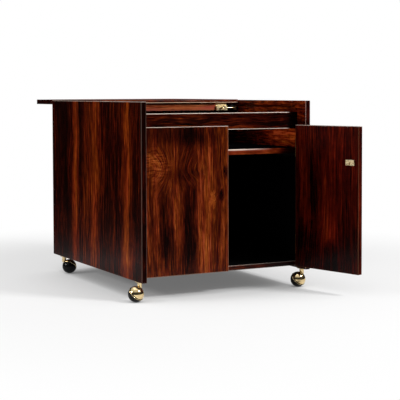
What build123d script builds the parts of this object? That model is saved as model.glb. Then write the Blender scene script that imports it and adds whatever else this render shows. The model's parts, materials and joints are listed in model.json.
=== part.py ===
"""Rosewood bar cart: a box on brass ball casters with two doors and a sliding top.

Millimetres. The origin is on the floor under the centre of the box, +X is to the right,
+Y to the back and +Z up. The doors face -Y. The right door stands open and the top is slid back.
"""

import os
from math import cos, radians, sin, sqrt

from build123d import *

os.makedirs("parts", exist_ok=True)

# Box
width = 585.0  # over the side panels' outer faces
depth = 730.0  # side panels, front edge to back edge
panel_height = 533.0
panel_t = 17.0
stand_height = 57.0  # floor to the side panels' lower edges
arris_r = 1.5

# Boards between the sides
front_setback = 49.0  # side panels' front edges to the front of the boards
bottom_t = 15.0
bottom_rise = 8.0  # side panels' lower edges to the bottom's underside
back_t = 8.0
back_inset = 10.0
rail_t = 17.0
rail_height = 52.0
rail_drop = 36.0  # side panels' top edges to the rail's top
deck_t = 18.0
deck_drop = 17.0
shelf_t = 17.0
shelf_height = 384.0  # side panels' lower edges to the shelf's top
cleat_size = 12.0
cleat_setback = 20.0
board_arris_r = 0.8

# Sliding top
lid_t = 16.0
lid_length = 507.0
lid_proud = 2.0  # above the side panels' top edges
lid_travel = 378.0  # from shut, level with the rail, to slid back
lid_side_gap = 1.0
lid_lip_t = 11.0  # front edge, over a rebate that goes back to the batten
lid_nose_r = 4.0  # upper front arris
glide_gap = 0.5  # under the lid
runner_w = 10.0
runner_h = 4.0
runner_start = 13.0  # behind the rail's front
glide_w = 20.0
glide_edge = 75.0  # side panel to a glide's middle
glide_inset = 5.0
guide_w = 12.0
guide_depth = 18.0  # batten and guide, front to back
guide_setback = 10.0  # behind the lid's front edge
guide_rail_gap = 1.5  # over the rail's top
foot_gap = 1.0  # under the runner
foot_side_gap = 1.5
runner_side_gap = 2.0
stop_gap = 2.0  # guide to deck with the lid slid back
stop_size = 8.5
stop_clear = 0.5

# Bolt on the lid
bolt_r = 3.0
bolt_travel = 10.0
bolt_tip_gap = 6.0  # tip to the side panel when drawn
bolt_tail = 7.0  # inside the case's left end
bolt_hole_r = 3.5
bolt_hole_depth = 8.0
slide_fit = 0.05  # radial
barrel_depth = 7.0
bolt_plate_t = 1.5
bolt_plate_gap = 1.0  # under the lid's front lip
bolt_case_w = 42.0
bolt_case_end = 42.0  # right end to the side panel
staple_w = 7.0
staple_end = 6.0
knob_r = 3.5
knob_length = 7.0
knob_neck_r = 1.75
knob_slot_gap = 0.5

# Doors
door_t = 17.0
door_recess = 30.0  # side panels' front edges to the doors' outer faces
door_lap = 12.0  # up over the rail
door_foot = 2.0  # above the bottom's underside
door_side_gap = 3.0
meeting_x = 16.0  # the doors' meeting line, right of centre
meeting_gap = 2.0
open_angle = 105.0  # right door

# Hinges
pivot_front = 4.0  # pin centre in front of the door's outer face
pivot_side = 3.6  # pin centre to the side panel
leaf_t = 1.2
leaf_height = 60.0
leaf_depth = 22.0
door_leaf_trim = 0.5  # short of the door's inner face
knuckle_r = 3.2
knuckle_share = 18.0  # each fixed knuckle
knuckle_gap = 0.3
knuckle_relief = 0.6  # round the other leaf's knuckle
pin_r = 1.5
pin_fit = 0.05
hinge_inset = 70.0  # door's end to a hinge's middle

# Door lock
lock_w = 33.0
lock_h = 16.5
lock_depth = 7.0
lock_wall = 1.4
lock_edge = 13.0  # case to the door's free edge
lock_drop = 19.5  # shelf's underside to the case's middle
lock_bolt_h = 6.0
lock_bolt_t = 4.0
lock_bolt_length = 27.0
lock_travel = 20.0
lock_bolt_rise = 3.8  # bolt's middle above the case's middle
lock_fit = 0.4
strike_spare = 6.0  # behind the shot bolt
key_r = 1.6
key_drop = 3.2  # key's axis under the case's middle
key_hole_r = 4.4  # through the door
key_slot_w = 2.2
key_slot_length = 3.9  # below the key's axis
key_reach = 5.2  # into the case
key_stand = 8.0  # shank outside the door
bow_w = 18.0
bow_h = 15.0
bow_t = 2.4
bow_lap = 3.0  # along the shank
bow_hole_r = 4.5
bit_w = 2.8
bit_length = 1.9  # beyond the shank
chamber_r = 4.0
key_plate_gap = 0.5
escutcheon_r = 11.0
escutcheon_t = 1.5

# Ball casters
ball_r = 24.0
ball_trail = 20.0
ball_tilt = 45.0  # axle's rise from level
ball_split = 4.0  # split plane from the ball's centre, along the axle
ball_gap = 1.2
wheel_wall = 3.5
hood_wall = 2.0
hub_r = 6.0
hub_drop = 2.0  # hub's end under the split plane
boss_r = 5.5
boss_drop = 1.0
axle_r = 2.0
axle_fit = 0.05
axle_in_hood = 12.0
axle_in_wheel = 18.5
axle_end_gap = 0.5
stem_r = 4.0
stem_fit = 0.05
stem_length = 28.0  # above the side panel's lower edge
stem_boss_r = 7.0
stem_boss_low = 14.0  # above the ball's centre
swivel_gap = 1.0
socket_r = 5.5
socket_depth = 34.0
flange_t = 2.0
flange_w = 15.0
flange_length = 32.0
stem_inset_front = 35.0  # front stems to the panel's end
stem_inset_back = 80.0
caster_turns = {  # where each ball trails, counterclockwise from the back as seen from above
    "front_left": 123.0,
    "front_right": 112.0,
    "back_left": 220.0,
    "back_right": 150.0,
}

# Planes and levels that the pieces share
x_out = width / 2
x_in = x_out - panel_t
y_front = -depth / 2
y_back = depth / 2
y_face = y_front + front_setback
y_back_board = y_back - back_inset - back_t
z_low = stand_height
z_top = z_low + panel_height
z_bottom = z_low + bottom_rise
z_bottom_top = z_bottom + bottom_t
z_rail_top = z_top - rail_drop
z_rail = z_rail_top - rail_height
z_deck_top = z_top - deck_drop
z_deck = z_deck_top - deck_t
z_shelf_top = z_low + shelf_height
z_shelf = z_shelf_top - shelf_t
lock_z = z_shelf - lock_drop
z_lid_top = z_top + lid_proud
z_lid = z_lid_top - lid_t
z_lip = z_lid_top - lid_lip_t
z_runner_top = z_lid - glide_gap
z_runner = z_runner_top - runner_h
z_guide = z_rail_top + guide_rail_gap
z_foot_top = z_runner - foot_gap
y_lid = y_face + lid_travel
y_guide = y_lid + guide_setback
y_deck = y_guide + guide_depth + stop_gap
z_bolt = (z_guide + z_foot_top) / 2
y_bolt = y_guide - bolt_plate_t - barrel_depth / 2
z_door = z_bottom + door_foot
z_door_top = z_rail + door_lap
x_pivot = x_in - pivot_side
y_pivot = y_front + door_recess - pivot_front
glide_x = x_in - glide_edge
stem_x = x_out - panel_t / 2
stem_front = y_front + stem_inset_front
stem_back = y_back - stem_inset_back


def block(x, y, z, mode=Mode.ADD):
    """Add a box that runs between two limits along each axis of the active part."""
    with Locations(((x[0] + x[1]) / 2, (y[0] + y[1]) / 2, (z[0] + z[1]) / 2)):
        Box(abs(x[1] - x[0]), abs(y[1] - y[0]), abs(z[1] - z[0]), mode=mode)


def save(builder, name):
    """Label a finished piece and write it under its node's name."""
    builder.part.label = name
    export_step(builder.part, f"parts/{name}.step")


# Side panels: casters stand in their lower edges, and the lid's bolt enters the right one
with BuildPart() as left_side:
    block((-x_out, -x_in), (y_front, y_back), (z_low, z_top))
    fillet(left_side.edges(), arris_r)
    for y in (stem_front, stem_back):
        with BuildSketch(Plane.XY.offset(z_low)):
            with Locations((-stem_x, y)):
                Circle(socket_r)
        extrude(amount=socket_depth, mode=Mode.SUBTRACT)
save(left_side, "left_side")

with BuildPart() as right_side:
    block((x_in, x_out), (y_front, y_back), (z_low, z_top))
    fillet(right_side.edges(), arris_r)
    for y in (stem_front, stem_back):
        with BuildSketch(Plane.XY.offset(z_low)):
            with Locations((stem_x, y)):
                Circle(socket_r)
        extrude(amount=socket_depth, mode=Mode.SUBTRACT)
    for y in (y_bolt, y_bolt - lid_travel):
        with BuildSketch(Plane(origin=(x_in, y, z_bolt), x_dir=(0, 1, 0), z_dir=(1, 0, 0))):
            Circle(bolt_hole_r)
        extrude(amount=bolt_hole_depth, mode=Mode.SUBTRACT)
save(right_side, "right_side")

# Boards between the sides
boards = {
    "bottom_panel": ((y_face, y_back_board), (z_bottom, z_bottom_top)),
    "front_rail": ((y_face, y_face + rail_t), (z_rail, z_rail_top)),
    "shelf": ((y_face, y_back_board), (z_shelf, z_shelf_top)),
    "rear_deck": ((y_deck, y_back - back_inset), (z_deck, z_deck_top)),
}
for name, (y, z) in boards.items():
    with BuildPart() as board:
        block((-x_in, x_in), y, z)
        fillet(board.edges().filter_by(Axis.X), board_arris_r)
    save(board, name)

with BuildPart() as back_panel:
    block((-x_in, x_in), (y_back_board, y_back_board + back_t), (z_bottom, z_deck))
save(back_panel, "back_panel")

# Strips on both sides: shelf cleats, lid runners and felt glides on the deck
for side, name in ((-1, "left"), (1, "right")):
    with BuildPart() as shelf_cleat:
        block(
            (side * (x_in - cleat_size), side * x_in),
            (y_face + cleat_setback, y_back_board),
            (z_shelf - cleat_size, z_shelf),
        )
    save(shelf_cleat, f"shelf_cleat_{name}")

    with BuildPart() as lid_runner:
        block(
            (side * (x_in - runner_w), side * x_in),
            (y_face + runner_start, y_deck),
            (z_runner, z_runner_top),
        )
    save(lid_runner, f"lid_runner_{name}")

    with BuildPart() as deck_glide:
        block(
            (side * glide_x - glide_w / 2, side * glide_x + glide_w / 2),
            (y_deck + glide_inset, y_back - back_inset - glide_inset),
            (z_deck_top, z_runner_top),
        )
    save(deck_glide, f"deck_glide_{name}")

# Stop that the batten's foot meets when the lid is shut
with BuildPart() as lid_stop:
    y_stop = y_guide - lid_travel - stop_clear
    block((-x_in, -x_in + stop_size), (y_stop - stop_size, y_stop), (z_guide, z_foot_top))
save(lid_stop, "lid_stop")

# Lid
with BuildPart() as lid_panel:
    block((-x_in + lid_side_gap, x_in - lid_side_gap), (y_lid, y_lid + lid_length), (z_lid, z_lid_top))
    block((-x_in + lid_side_gap, x_in - lid_side_gap), (y_lid, y_guide), (z_lid, z_lip), mode=Mode.SUBTRACT)
    lip = lid_panel.edges().filter_by(Axis.X).group_by(Axis.Y)[0].sort_by(Axis.Z)
    fillet(lip[-1], lid_nose_r)
    fillet(lip[0], arris_r)
    fillet(lid_panel.edges().filter_by(Axis.X).group_by(Axis.Y)[-1], arris_r)
save(lid_panel, "lid_panel")

# Batten and guide under the lid, each with a foot that runs under a runner
y_guides = (y_guide, y_guide + guide_depth)
x_block = x_in - runner_w - runner_side_gap
with BuildPart() as lid_batten:
    block((-x_block, x_in - bolt_case_end), y_guides, (z_guide, z_lid))
    block((-x_in + foot_side_gap, -x_block), y_guides, (z_guide, z_foot_top))
save(lid_batten, "lid_batten")

with BuildPart() as lid_guide:
    block((x_block - guide_w, x_block), y_guides, (z_guide, z_lid))
    block((x_block, x_in - foot_side_gap), y_guides, (z_guide, z_foot_top))
save(lid_guide, "lid_guide")

# Barrel bolt: its case on the batten's right end, its staple on the guide
bolt_start = Plane(origin=(x_in - bolt_case_end, y_bolt, z_bolt), x_dir=(0, 1, 0), z_dir=(-1, 0, 0))
x_case = (x_in - bolt_case_end - bolt_case_w, x_in - bolt_case_end)
y_barrel = (y_guide - bolt_plate_t - barrel_depth, y_guide - bolt_plate_t)
z_barrel = (z_guide, z_foot_top)
x_knob = sum(x_case) / 2 - bolt_travel / 2
knob_face = Plane(origin=(x_knob, y_bolt, z_bolt), x_dir=(1, 0, 0), z_dir=(0, -1, 0))
with BuildPart() as lid_bolt_case:
    block(x_case, y_barrel, z_barrel)
    block(x_case, (y_guide - bolt_plate_t, y_guide), (z_guide, z_lip - bolt_plate_gap))
    with BuildSketch(bolt_start):
        Circle(bolt_r + slide_fit)
    extrude(amount=bolt_case_w, mode=Mode.SUBTRACT)
    with BuildSketch(knob_face):
        with Locations((bolt_travel / 2, 0)):
            SlotCenterToCenter(bolt_travel, 2 * (knob_neck_r + knob_slot_gap))
    extrude(amount=barrel_depth, mode=Mode.SUBTRACT)
save(lid_bolt_case, "lid_bolt_case")

with BuildPart() as lid_bolt_staple:
    block((x_in - staple_end - staple_w, x_in - staple_end), (y_barrel[0], y_guide), z_barrel)
    with BuildSketch(Plane(origin=(x_in - staple_end, y_bolt, z_bolt), x_dir=(0, 1, 0), z_dir=(-1, 0, 0))):
        Circle(bolt_r + slide_fit)
    extrude(amount=staple_w, mode=Mode.SUBTRACT)
save(lid_bolt_staple, "lid_bolt_staple")

with BuildPart() as lid_bolt:
    bolt_tip = x_in - bolt_tip_gap
    with BuildSketch(Plane(origin=(bolt_tip, y_bolt, z_bolt), x_dir=(0, 1, 0), z_dir=(-1, 0, 0))):
        Circle(bolt_r)
    extrude(amount=bolt_tip - x_case[0] - bolt_tail)
    with BuildSketch(knob_face):
        Circle(knob_neck_r)
    extrude(amount=barrel_depth / 2 + knob_length / 2)
    with BuildSketch(knob_face.offset(barrel_depth / 2 + knob_slot_gap)):
        Circle(knob_r)
    extrude(amount=knob_length)
    fillet(lid_bolt.faces().sort_by(Axis.Y)[0].edges(), board_arris_r)
save(lid_bolt, "lid_bolt")

# Doors, each in a frame on its hinge pins: +x runs to the free edge, and inward is `into` along y
door_frames = {
    "left": (Plane(origin=(-x_pivot, y_pivot, 0), x_dir=(1, 0, 0), z_dir=(0, 0, 1)), 1),
    "right": (
        Plane(
            origin=(x_pivot, y_pivot, 0),
            x_dir=(-cos(radians(open_angle)), -sin(radians(open_angle)), 0),
            z_dir=(0, 0, 1),
        ),
        -1,
    ),
}
door_edge = door_side_gap - pivot_side
door_end = {
    "left": x_pivot + meeting_x - meeting_gap / 2,
    "right": x_pivot - meeting_x - meeting_gap / 2,
}
key_x = door_end["right"] - lock_edge - lock_w / 2
key_z = lock_z - key_drop
right_frame, right_into = door_frames["right"]
y_outer = right_into * pivot_front
y_inner = right_into * (pivot_front + door_t)


def in_frame(frame, x, y, z, x_dir=(1, 0, 0), z_dir=(0, 0, 1)):
    """Return a plane given in the coordinates of a door's frame."""
    origin = frame.from_local_coords(Vector(x, y, z))
    turn = frame.from_local_coords(Vector(0, 0, 0))
    return Plane(
        origin=origin,
        x_dir=frame.from_local_coords(Vector(*x_dir)) - turn,
        z_dir=frame.from_local_coords(Vector(*z_dir)) - turn,
    )


with BuildPart(door_frames["left"][0]) as left_door:
    block((door_edge, door_end["left"]), (pivot_front, pivot_front + door_t), (z_door, z_door_top))
    fillet(left_door.edges(), arris_r)
save(left_door, "left_door")

key_axis = in_frame(right_frame, key_x, y_outer, key_z, (1, 0, 0), (0, right_into, 0))
with BuildPart(right_frame) as right_door:
    block((door_edge, door_end["right"]), (y_outer, y_inner), (z_door, z_door_top))
    fillet(right_door.edges(), arris_r)
    with BuildSketch(key_axis):
        Circle(key_hole_r)
    extrude(amount=door_t, mode=Mode.SUBTRACT)
save(right_door, "right_door")

# Butt hinges: a leaf on the side panel with two knuckles, a leaf on the door with one, and a pin
closed_right = Plane(origin=(x_pivot, y_pivot, 0), x_dir=(-1, 0, 0), z_dir=(0, 0, 1))
hinge_levels = {"lower": z_door + hinge_inset, "upper": z_door_top - hinge_inset}
for side, (frame, into) in door_frames.items():
    fixed_frame = frame if side == "left" else closed_right
    for level, z_mid in hinge_levels.items():
        z_ends = (z_mid - leaf_height / 2, z_mid + leaf_height / 2)
        z_middle = (z_ends[0] + knuckle_share, z_ends[1] - knuckle_share)
        relief = knuckle_r + knuckle_relief

        with BuildPart(fixed_frame) as hinge_frame_leaf:
            leaf_x = (-pivot_side, leaf_t - pivot_side)
            block(leaf_x, (into * relief, into * leaf_depth), z_ends)
            for z in ((z_ends[0], z_middle[0]), (z_middle[1], z_ends[1])):
                block(leaf_x, (0, into * relief), z)
                with Locations((0, 0, (z[0] + z[1]) / 2)):
                    Cylinder(knuckle_r, z[1] - z[0])
            with Locations((0, 0, z_mid)):
                Cylinder(pin_r, leaf_height, mode=Mode.SUBTRACT)
        save(hinge_frame_leaf, f"hinge_{side}_{level}_frame_leaf")

        with BuildPart(frame) as hinge_door_leaf:
            leaf_x = (door_edge - leaf_t, door_edge)
            knuckle_z = (z_middle[0] + knuckle_gap, z_middle[1] - knuckle_gap)
            leaf_end = pivot_front + door_t - door_leaf_trim
            block(leaf_x, (into * relief, into * leaf_end), z_ends)
            block(leaf_x, (0, into * relief), knuckle_z)
            with Locations((0, 0, z_mid)):
                Cylinder(knuckle_r, knuckle_z[1] - knuckle_z[0])
                Cylinder(pin_r + pin_fit, leaf_height, mode=Mode.SUBTRACT)
        save(hinge_door_leaf, f"hinge_{side}_{level}_door_leaf")

        with BuildPart(fixed_frame) as hinge_pin:
            with Locations((0, 0, z_mid)):
                Cylinder(pin_r, leaf_height)
        save(hinge_pin, f"hinge_{side}_{level}_pin")

# Lock on the right door's inner face: case, bolt, key and the plate round the keyhole
case_x = (key_x - lock_w / 2, key_x + lock_w / 2)
case_y = (y_inner, y_inner + right_into * lock_depth)
bolt_y = y_inner + right_into * lock_depth / 2
bolt_z = lock_z + lock_bolt_rise
with BuildPart(right_frame) as door_lock_case:
    block(case_x, case_y, (lock_z - lock_h / 2, lock_z + lock_h / 2))
    fillet(door_lock_case.edges().filter_by(Axis.Z), board_arris_r)
    channel_start = case_x[1] - lock_bolt_length - lock_fit
    block(
        (channel_start, case_x[1]),
        (bolt_y - lock_bolt_t / 2 - lock_fit, bolt_y + lock_bolt_t / 2 + lock_fit),
        (bolt_z - lock_bolt_h / 2 - lock_fit, bolt_z + lock_bolt_h / 2 + lock_fit),
        mode=Mode.SUBTRACT,
    )
    with BuildSketch(in_frame(right_frame, key_x, y_inner, key_z, (1, 0, 0), (0, right_into, 0))):
        Circle(key_r + slide_fit)
        with Locations((0, -key_slot_length / 2)):
            Rectangle(key_slot_w, key_slot_length)
    extrude(amount=lock_depth, mode=Mode.SUBTRACT)
    y_chamber = y_inner + right_into * lock_wall
    with BuildSketch(in_frame(right_frame, key_x, y_chamber, key_z, (1, 0, 0), (0, right_into, 0))):
        Circle(chamber_r)
    extrude(amount=lock_depth - lock_wall, mode=Mode.SUBTRACT)
save(door_lock_case, "door_lock_case")

with BuildPart(right_frame) as door_lock_bolt:
    block(
        (case_x[1] - lock_bolt_length, case_x[1]),
        (bolt_y - lock_bolt_t / 2, bolt_y + lock_bolt_t / 2),
        (bolt_z - lock_bolt_h / 2, bolt_z + lock_bolt_h / 2),
    )
save(door_lock_bolt, "door_lock_bolt")

with BuildPart(right_frame) as door_escutcheon:
    with BuildSketch(in_frame(right_frame, key_x, y_outer, key_z, (1, 0, 0), (0, -right_into, 0))):
        Circle(escutcheon_r)
        Circle(key_r + key_plate_gap, mode=Mode.SUBTRACT)
        with Locations((0, key_slot_length / 2)):
            Rectangle(key_slot_w, key_slot_length, mode=Mode.SUBTRACT)
    extrude(amount=escutcheon_t)
    fillet(door_escutcheon.edges().filter_by(GeomType.CIRCLE).sort_by(SortBy.RADIUS)[-1], arris_r / 2)
save(door_escutcheon, "door_escutcheon")

y_tip = y_inner + right_into * key_reach
key_tip = in_frame(right_frame, key_x, y_tip, key_z, (1, 0, 0), (0, -right_into, 0))
shank = key_reach + door_t + key_stand
bow_middle = y_outer - right_into * (key_stand + bow_h / 2 - bow_lap)
with BuildPart(right_frame) as door_key:
    with BuildSketch(key_tip):
        Circle(key_r)
    extrude(amount=shank)
    block(
        (key_x - key_r / 2, key_x + key_r / 2),
        (y_tip - right_into * bit_w, y_tip),
        (key_z - key_r - bit_length, key_z),
    )
    with BuildSketch(in_frame(right_frame, key_x + bow_t / 2, bow_middle, key_z, (0, 1, 0), (-1, 0, 0))):
        Ellipse(bow_h / 2, bow_w / 2)
        Circle(bow_hole_r, mode=Mode.SUBTRACT)
    extrude(amount=bow_t)
save(door_key, "door_key")

# Strike on the left door, where the lock's bolt goes in
strike_end = meeting_x - meeting_gap / 2
strike_w = lock_travel - lock_edge - meeting_gap + strike_spare + lock_wall
strike_front = y_pivot + pivot_front + door_t
strike_bolt_y = strike_front + lock_depth / 2
with BuildPart() as door_strike:
    block(
        (strike_end - strike_w, strike_end),
        (strike_front, strike_front + lock_depth),
        (bolt_z - lock_h / 2, bolt_z + lock_h / 2),
    )
    block(
        (strike_end - strike_w + lock_wall, strike_end),
        (strike_bolt_y - lock_bolt_t / 2 - lock_fit, strike_bolt_y + lock_bolt_t / 2 + lock_fit),
        (bolt_z - lock_bolt_h / 2 - lock_fit, bolt_z + lock_bolt_h / 2 + lock_fit),
        mode=Mode.SUBTRACT,
    )
save(door_strike, "door_strike")

# Ball casters: the ball is split across a tilted axle into a wheel below and a hood above
wheel_end = ball_split - ball_gap / 2
hood_end = ball_split + ball_gap / 2
wheel_in_r = ball_r - wheel_wall
hood_in_r = ball_r - hood_wall
tilt = radians(ball_tilt)


def rim(radius, level):
    """Return the radius of a ball's section at a level along the axle."""
    return sqrt(radius**2 - level**2)


caster_places = {
    "front_left": (-stem_x, stem_front),
    "front_right": (stem_x, stem_front),
    "back_left": (-stem_x, stem_back),
    "back_right": (stem_x, stem_back),
}
for corner, (x, y) in caster_places.items():
    turn = radians(caster_turns[corner])
    trail = Vector(-sin(turn), cos(turn), 0)
    across = Vector(-cos(turn), -sin(turn), 0)
    ball = Vector(x, y, ball_r) + trail * ball_trail
    along = across * cos(tilt) + Vector(0, 0, 1) * sin(tilt)
    outward = across * sin(tilt) - Vector(0, 0, 1) * cos(tilt)
    section = Plane(origin=ball, x_dir=outward, z_dir=outward.cross(along))
    axle_line = Axis(ball, along)

    with BuildPart() as caster_socket:
        with Locations((x, y, z_low - flange_t / 2)):
            Box(flange_w, flange_length, flange_t)
        with Locations((x, y, z_low + socket_depth / 2)):
            Cylinder(socket_r, socket_depth)
        with BuildSketch(Plane.XY.offset(z_low - flange_t)):
            with Locations((x, y)):
                Circle(stem_r + stem_fit)
        extrude(amount=flange_t + stem_length + swivel_gap, mode=Mode.SUBTRACT)
    save(caster_socket, f"caster_{corner}_socket")

    with BuildPart() as caster_hood:
        with BuildSketch(section):
            with BuildLine():
                Line((0, axle_in_hood), (0, ball_r))
                RadiusArc((0, ball_r), (rim(ball_r, hood_end), hood_end), ball_r)
                Line((rim(ball_r, hood_end), hood_end), (rim(hood_in_r, hood_end), hood_end))
                hood_root = (boss_r, rim(hood_in_r, boss_r))
                RadiusArc((rim(hood_in_r, hood_end), hood_end), hood_root, -hood_in_r)
                Polyline(
                    hood_root,
                    (boss_r, ball_split - boss_drop),
                    (axle_r, ball_split - boss_drop),
                    (axle_r, axle_in_hood),
                    (0, axle_in_hood),
                )
            make_face()
        revolve(axis=axle_line)
        boss_low = ball_r + stem_boss_low
        boss_top = z_low - flange_t - swivel_gap
        with Locations((x, y, (boss_low + boss_top) / 2)):
            Cylinder(stem_boss_r, boss_top - boss_low)
        with Locations((x, y, (boss_low + z_low + stem_length) / 2)):
            Cylinder(stem_r, z_low + stem_length - boss_low)
    save(caster_hood, f"caster_{corner}_hood")

    with BuildPart() as caster_wheel:
        with BuildSketch(section):
            with BuildLine():
                bore = axle_r + axle_fit
                bore_end = -axle_in_wheel + ball_split - axle_end_gap
                hub_end = ball_split - hub_drop
                RadiusArc((0, -ball_r), (rim(ball_r, wheel_end), wheel_end), -ball_r)
                Line((rim(ball_r, wheel_end), wheel_end), (rim(wheel_in_r, wheel_end), wheel_end))
                hub_root = (hub_r, -rim(wheel_in_r, hub_r))
                RadiusArc((rim(wheel_in_r, wheel_end), wheel_end), hub_root, wheel_in_r)
                Polyline(
                    hub_root,
                    (hub_r, hub_end),
                    (bore, hub_end),
                    (bore, bore_end),
                    (0, bore_end),
                    (0, -ball_r),
                )
            make_face()
        revolve(axis=axle_line)
    save(caster_wheel, f"caster_{corner}_wheel")

    with BuildPart() as caster_axle:
        axle_start = ball + along * (ball_split - axle_in_wheel)
        with BuildSketch(Plane(origin=axle_start, x_dir=outward, z_dir=along)):
            Circle(axle_r)
        extrude(amount=axle_in_hood - ball_split + axle_in_wheel)
    save(caster_axle, f"caster_{corner}_axle")
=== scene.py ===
"""Looks of a rosewood bar cart: veneers, brass, fixings, studio and camera."""

import json
import logging
import math
from dataclasses import dataclass
from enum import Enum
from typing import Any, ClassVar

import bmesh
import bpy
from mathutils import Matrix, Quaternion, Vector


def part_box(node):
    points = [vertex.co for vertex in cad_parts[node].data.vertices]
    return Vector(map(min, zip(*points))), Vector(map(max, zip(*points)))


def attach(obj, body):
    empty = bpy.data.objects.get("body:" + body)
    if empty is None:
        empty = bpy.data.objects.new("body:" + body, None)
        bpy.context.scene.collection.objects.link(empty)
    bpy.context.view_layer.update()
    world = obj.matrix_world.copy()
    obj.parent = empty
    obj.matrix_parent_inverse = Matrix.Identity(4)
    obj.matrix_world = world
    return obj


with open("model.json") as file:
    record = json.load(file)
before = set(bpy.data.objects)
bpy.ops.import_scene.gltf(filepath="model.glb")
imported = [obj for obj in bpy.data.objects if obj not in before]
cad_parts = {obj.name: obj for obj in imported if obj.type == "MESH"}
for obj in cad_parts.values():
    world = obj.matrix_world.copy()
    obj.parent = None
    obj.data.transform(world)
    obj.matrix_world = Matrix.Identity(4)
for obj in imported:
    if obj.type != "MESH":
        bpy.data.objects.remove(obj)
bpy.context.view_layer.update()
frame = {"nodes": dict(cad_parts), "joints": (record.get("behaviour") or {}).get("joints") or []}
LOG = logging.getLogger("bar_cart")

Material = bpy.types.Material
Mesh = bmesh.types.BMesh
Node = bpy.types.Node
NodeTree = bpy.types.NodeTree
Socket = bpy.types.NodeSocket
Rgb = tuple[float, float, float]
Point = tuple[float, float, float]
Span = tuple[float, float]
Box = tuple[Point, Point]
Placing = tuple[Point, Point]
Stops = tuple[tuple[float, float], ...]
RgbStops = tuple[tuple[float, Rgb], ...]
Value = Socket | float | tuple

CORNERS = ("front_left", "front_right", "back_left", "back_right")
HINGES = ("left_lower", "left_upper", "right_lower", "right_upper")
FAR = 1.0  # beyond every end of the cart
THROUGH = 1000.0  # reach of a patch through a board's thickness
MIDDLE = 0.5  # of noises and tones, which run from 0 to 1


def joint(name: str) -> dict[str, Any]:
    """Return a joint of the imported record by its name."""
    return next(entry for entry in frame["joints"] if entry["name"] == name)


DOOR_SWING = joint("right_door_swing")
DOOR_PIVOT = Vector((*DOOR_SWING["pos_m"][:2], 0.0))
DOOR_ANGLE = -math.radians(DOOR_SWING["range_deg"][0])  # from shut to where the door rests


def corners(node: str) -> tuple[Vector, Vector]:
    """Return a node's lowest and highest corners at rest."""
    low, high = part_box(node)
    return Vector(low), Vector(high)


def shut_corners(node: str) -> tuple[Vector, Vector]:
    """Return the corners of a piece of the right door as they are with the door shut.

    Args:
        node: A CAD node that the right door carries.

    Returns:
        Its lowest and highest corners.
    """
    turn = Matrix.Rotation(-DOOR_ANGLE, 3, "Z")
    vertices = frame["nodes"][node].data.vertices
    places = [DOOR_PIVOT + turn @ (vertex.co - DOOR_PIVOT) for vertex in vertices]
    ends = [(min(axis), max(axis)) for axis in zip(*places)]
    return Vector([low for low, _ in ends]), Vector([high for _, high in ends])


def opened(places: list[Placing]) -> tuple[Placing, ...]:
    """Return places and normals on the shut right door, swung with it to where it stands open.

    Args:
        places: Places and normals with the door shut.

    Returns:
        The same places and normals with the door open.
    """
    turn = Matrix.Rotation(DOOR_ANGLE, 3, "Z")
    return tuple(
        (tuple(DOOR_PIVOT + turn @ (Vector(place) - DOOR_PIVOT)), tuple(turn @ Vector(normal)))
        for place, normal in places
    )


# Black spaces: the cabinet's black lining, and black painted as shade on the shelf's top and on the deck's
# front edge.
BLACK_SPACE_LAP = 0.0004  # past the faces that a lining covers
CABINET_SETBACK = 0.0025  # behind the boards' front edges
SHELF_SETBACK = 0.0014
DECK_RETURN = 0.0016  # round the deck's front edge


def black_space(front: float, back: float, low: float, high: float) -> Box:
    """Return a space between the side panels' inner faces, with a lap past the faces round it."""
    inner = corners("right_side")[0].x + BLACK_SPACE_LAP
    return (-inner, front, low - BLACK_SPACE_LAP), (inner, back + BLACK_SPACE_LAP, high + BLACK_SPACE_LAP)


SHELF_LOW, SHELF_HIGH = corners("shelf")
DECK_LOW, DECK_HIGH = corners("rear_deck")
CABINET_LINING = black_space(
    SHELF_LOW.y + CABINET_SETBACK, SHELF_HIGH.y, corners("bottom_panel")[1].z, SHELF_LOW.z
)
# Painted shade: the shelf's top is painted black, standing in for the shade it lies in.
SHELF_TOP_PAINTED_SHADE = black_space(SHELF_LOW.y + SHELF_SETBACK, SHELF_HIGH.y, SHELF_HIGH.z, SHELF_HIGH.z)
# Painted shade: the deck's front edge is painted black, standing in for the dark under the lid.
DECK_EDGE_PAINTED_SHADE = black_space(DECK_LOW.y - BLACK_SPACE_LAP, DECK_LOW.y + DECK_RETURN, DECK_LOW.z, DECK_HIGH.z)


class Axis(Enum):
    """Row axis that a board's grain runs along or across."""

    X = 0
    Y = 1
    Z = 2


class Metal(Enum):
    """Metals of the fittings."""

    BRASS = "polished_brass"
    WORN_BRASS = "handled_brass"
    AGED_BRASS = "aged_brass"
    STEEL = "turned_steel"


@dataclass(frozen=True)
class Grain:
    """A layer of noise: its scale for each metre along three axes, its octaves and its share."""

    scale: Point
    octaves: float = 3.0
    rough: float = 0.55
    share: float = 1.0


def greys(stops: Stops) -> RgbStops:
    """Return a ramp's stops as greys of the same tones."""
    return tuple((at, (tone, tone, tone)) for at, tone in stops)


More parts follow.
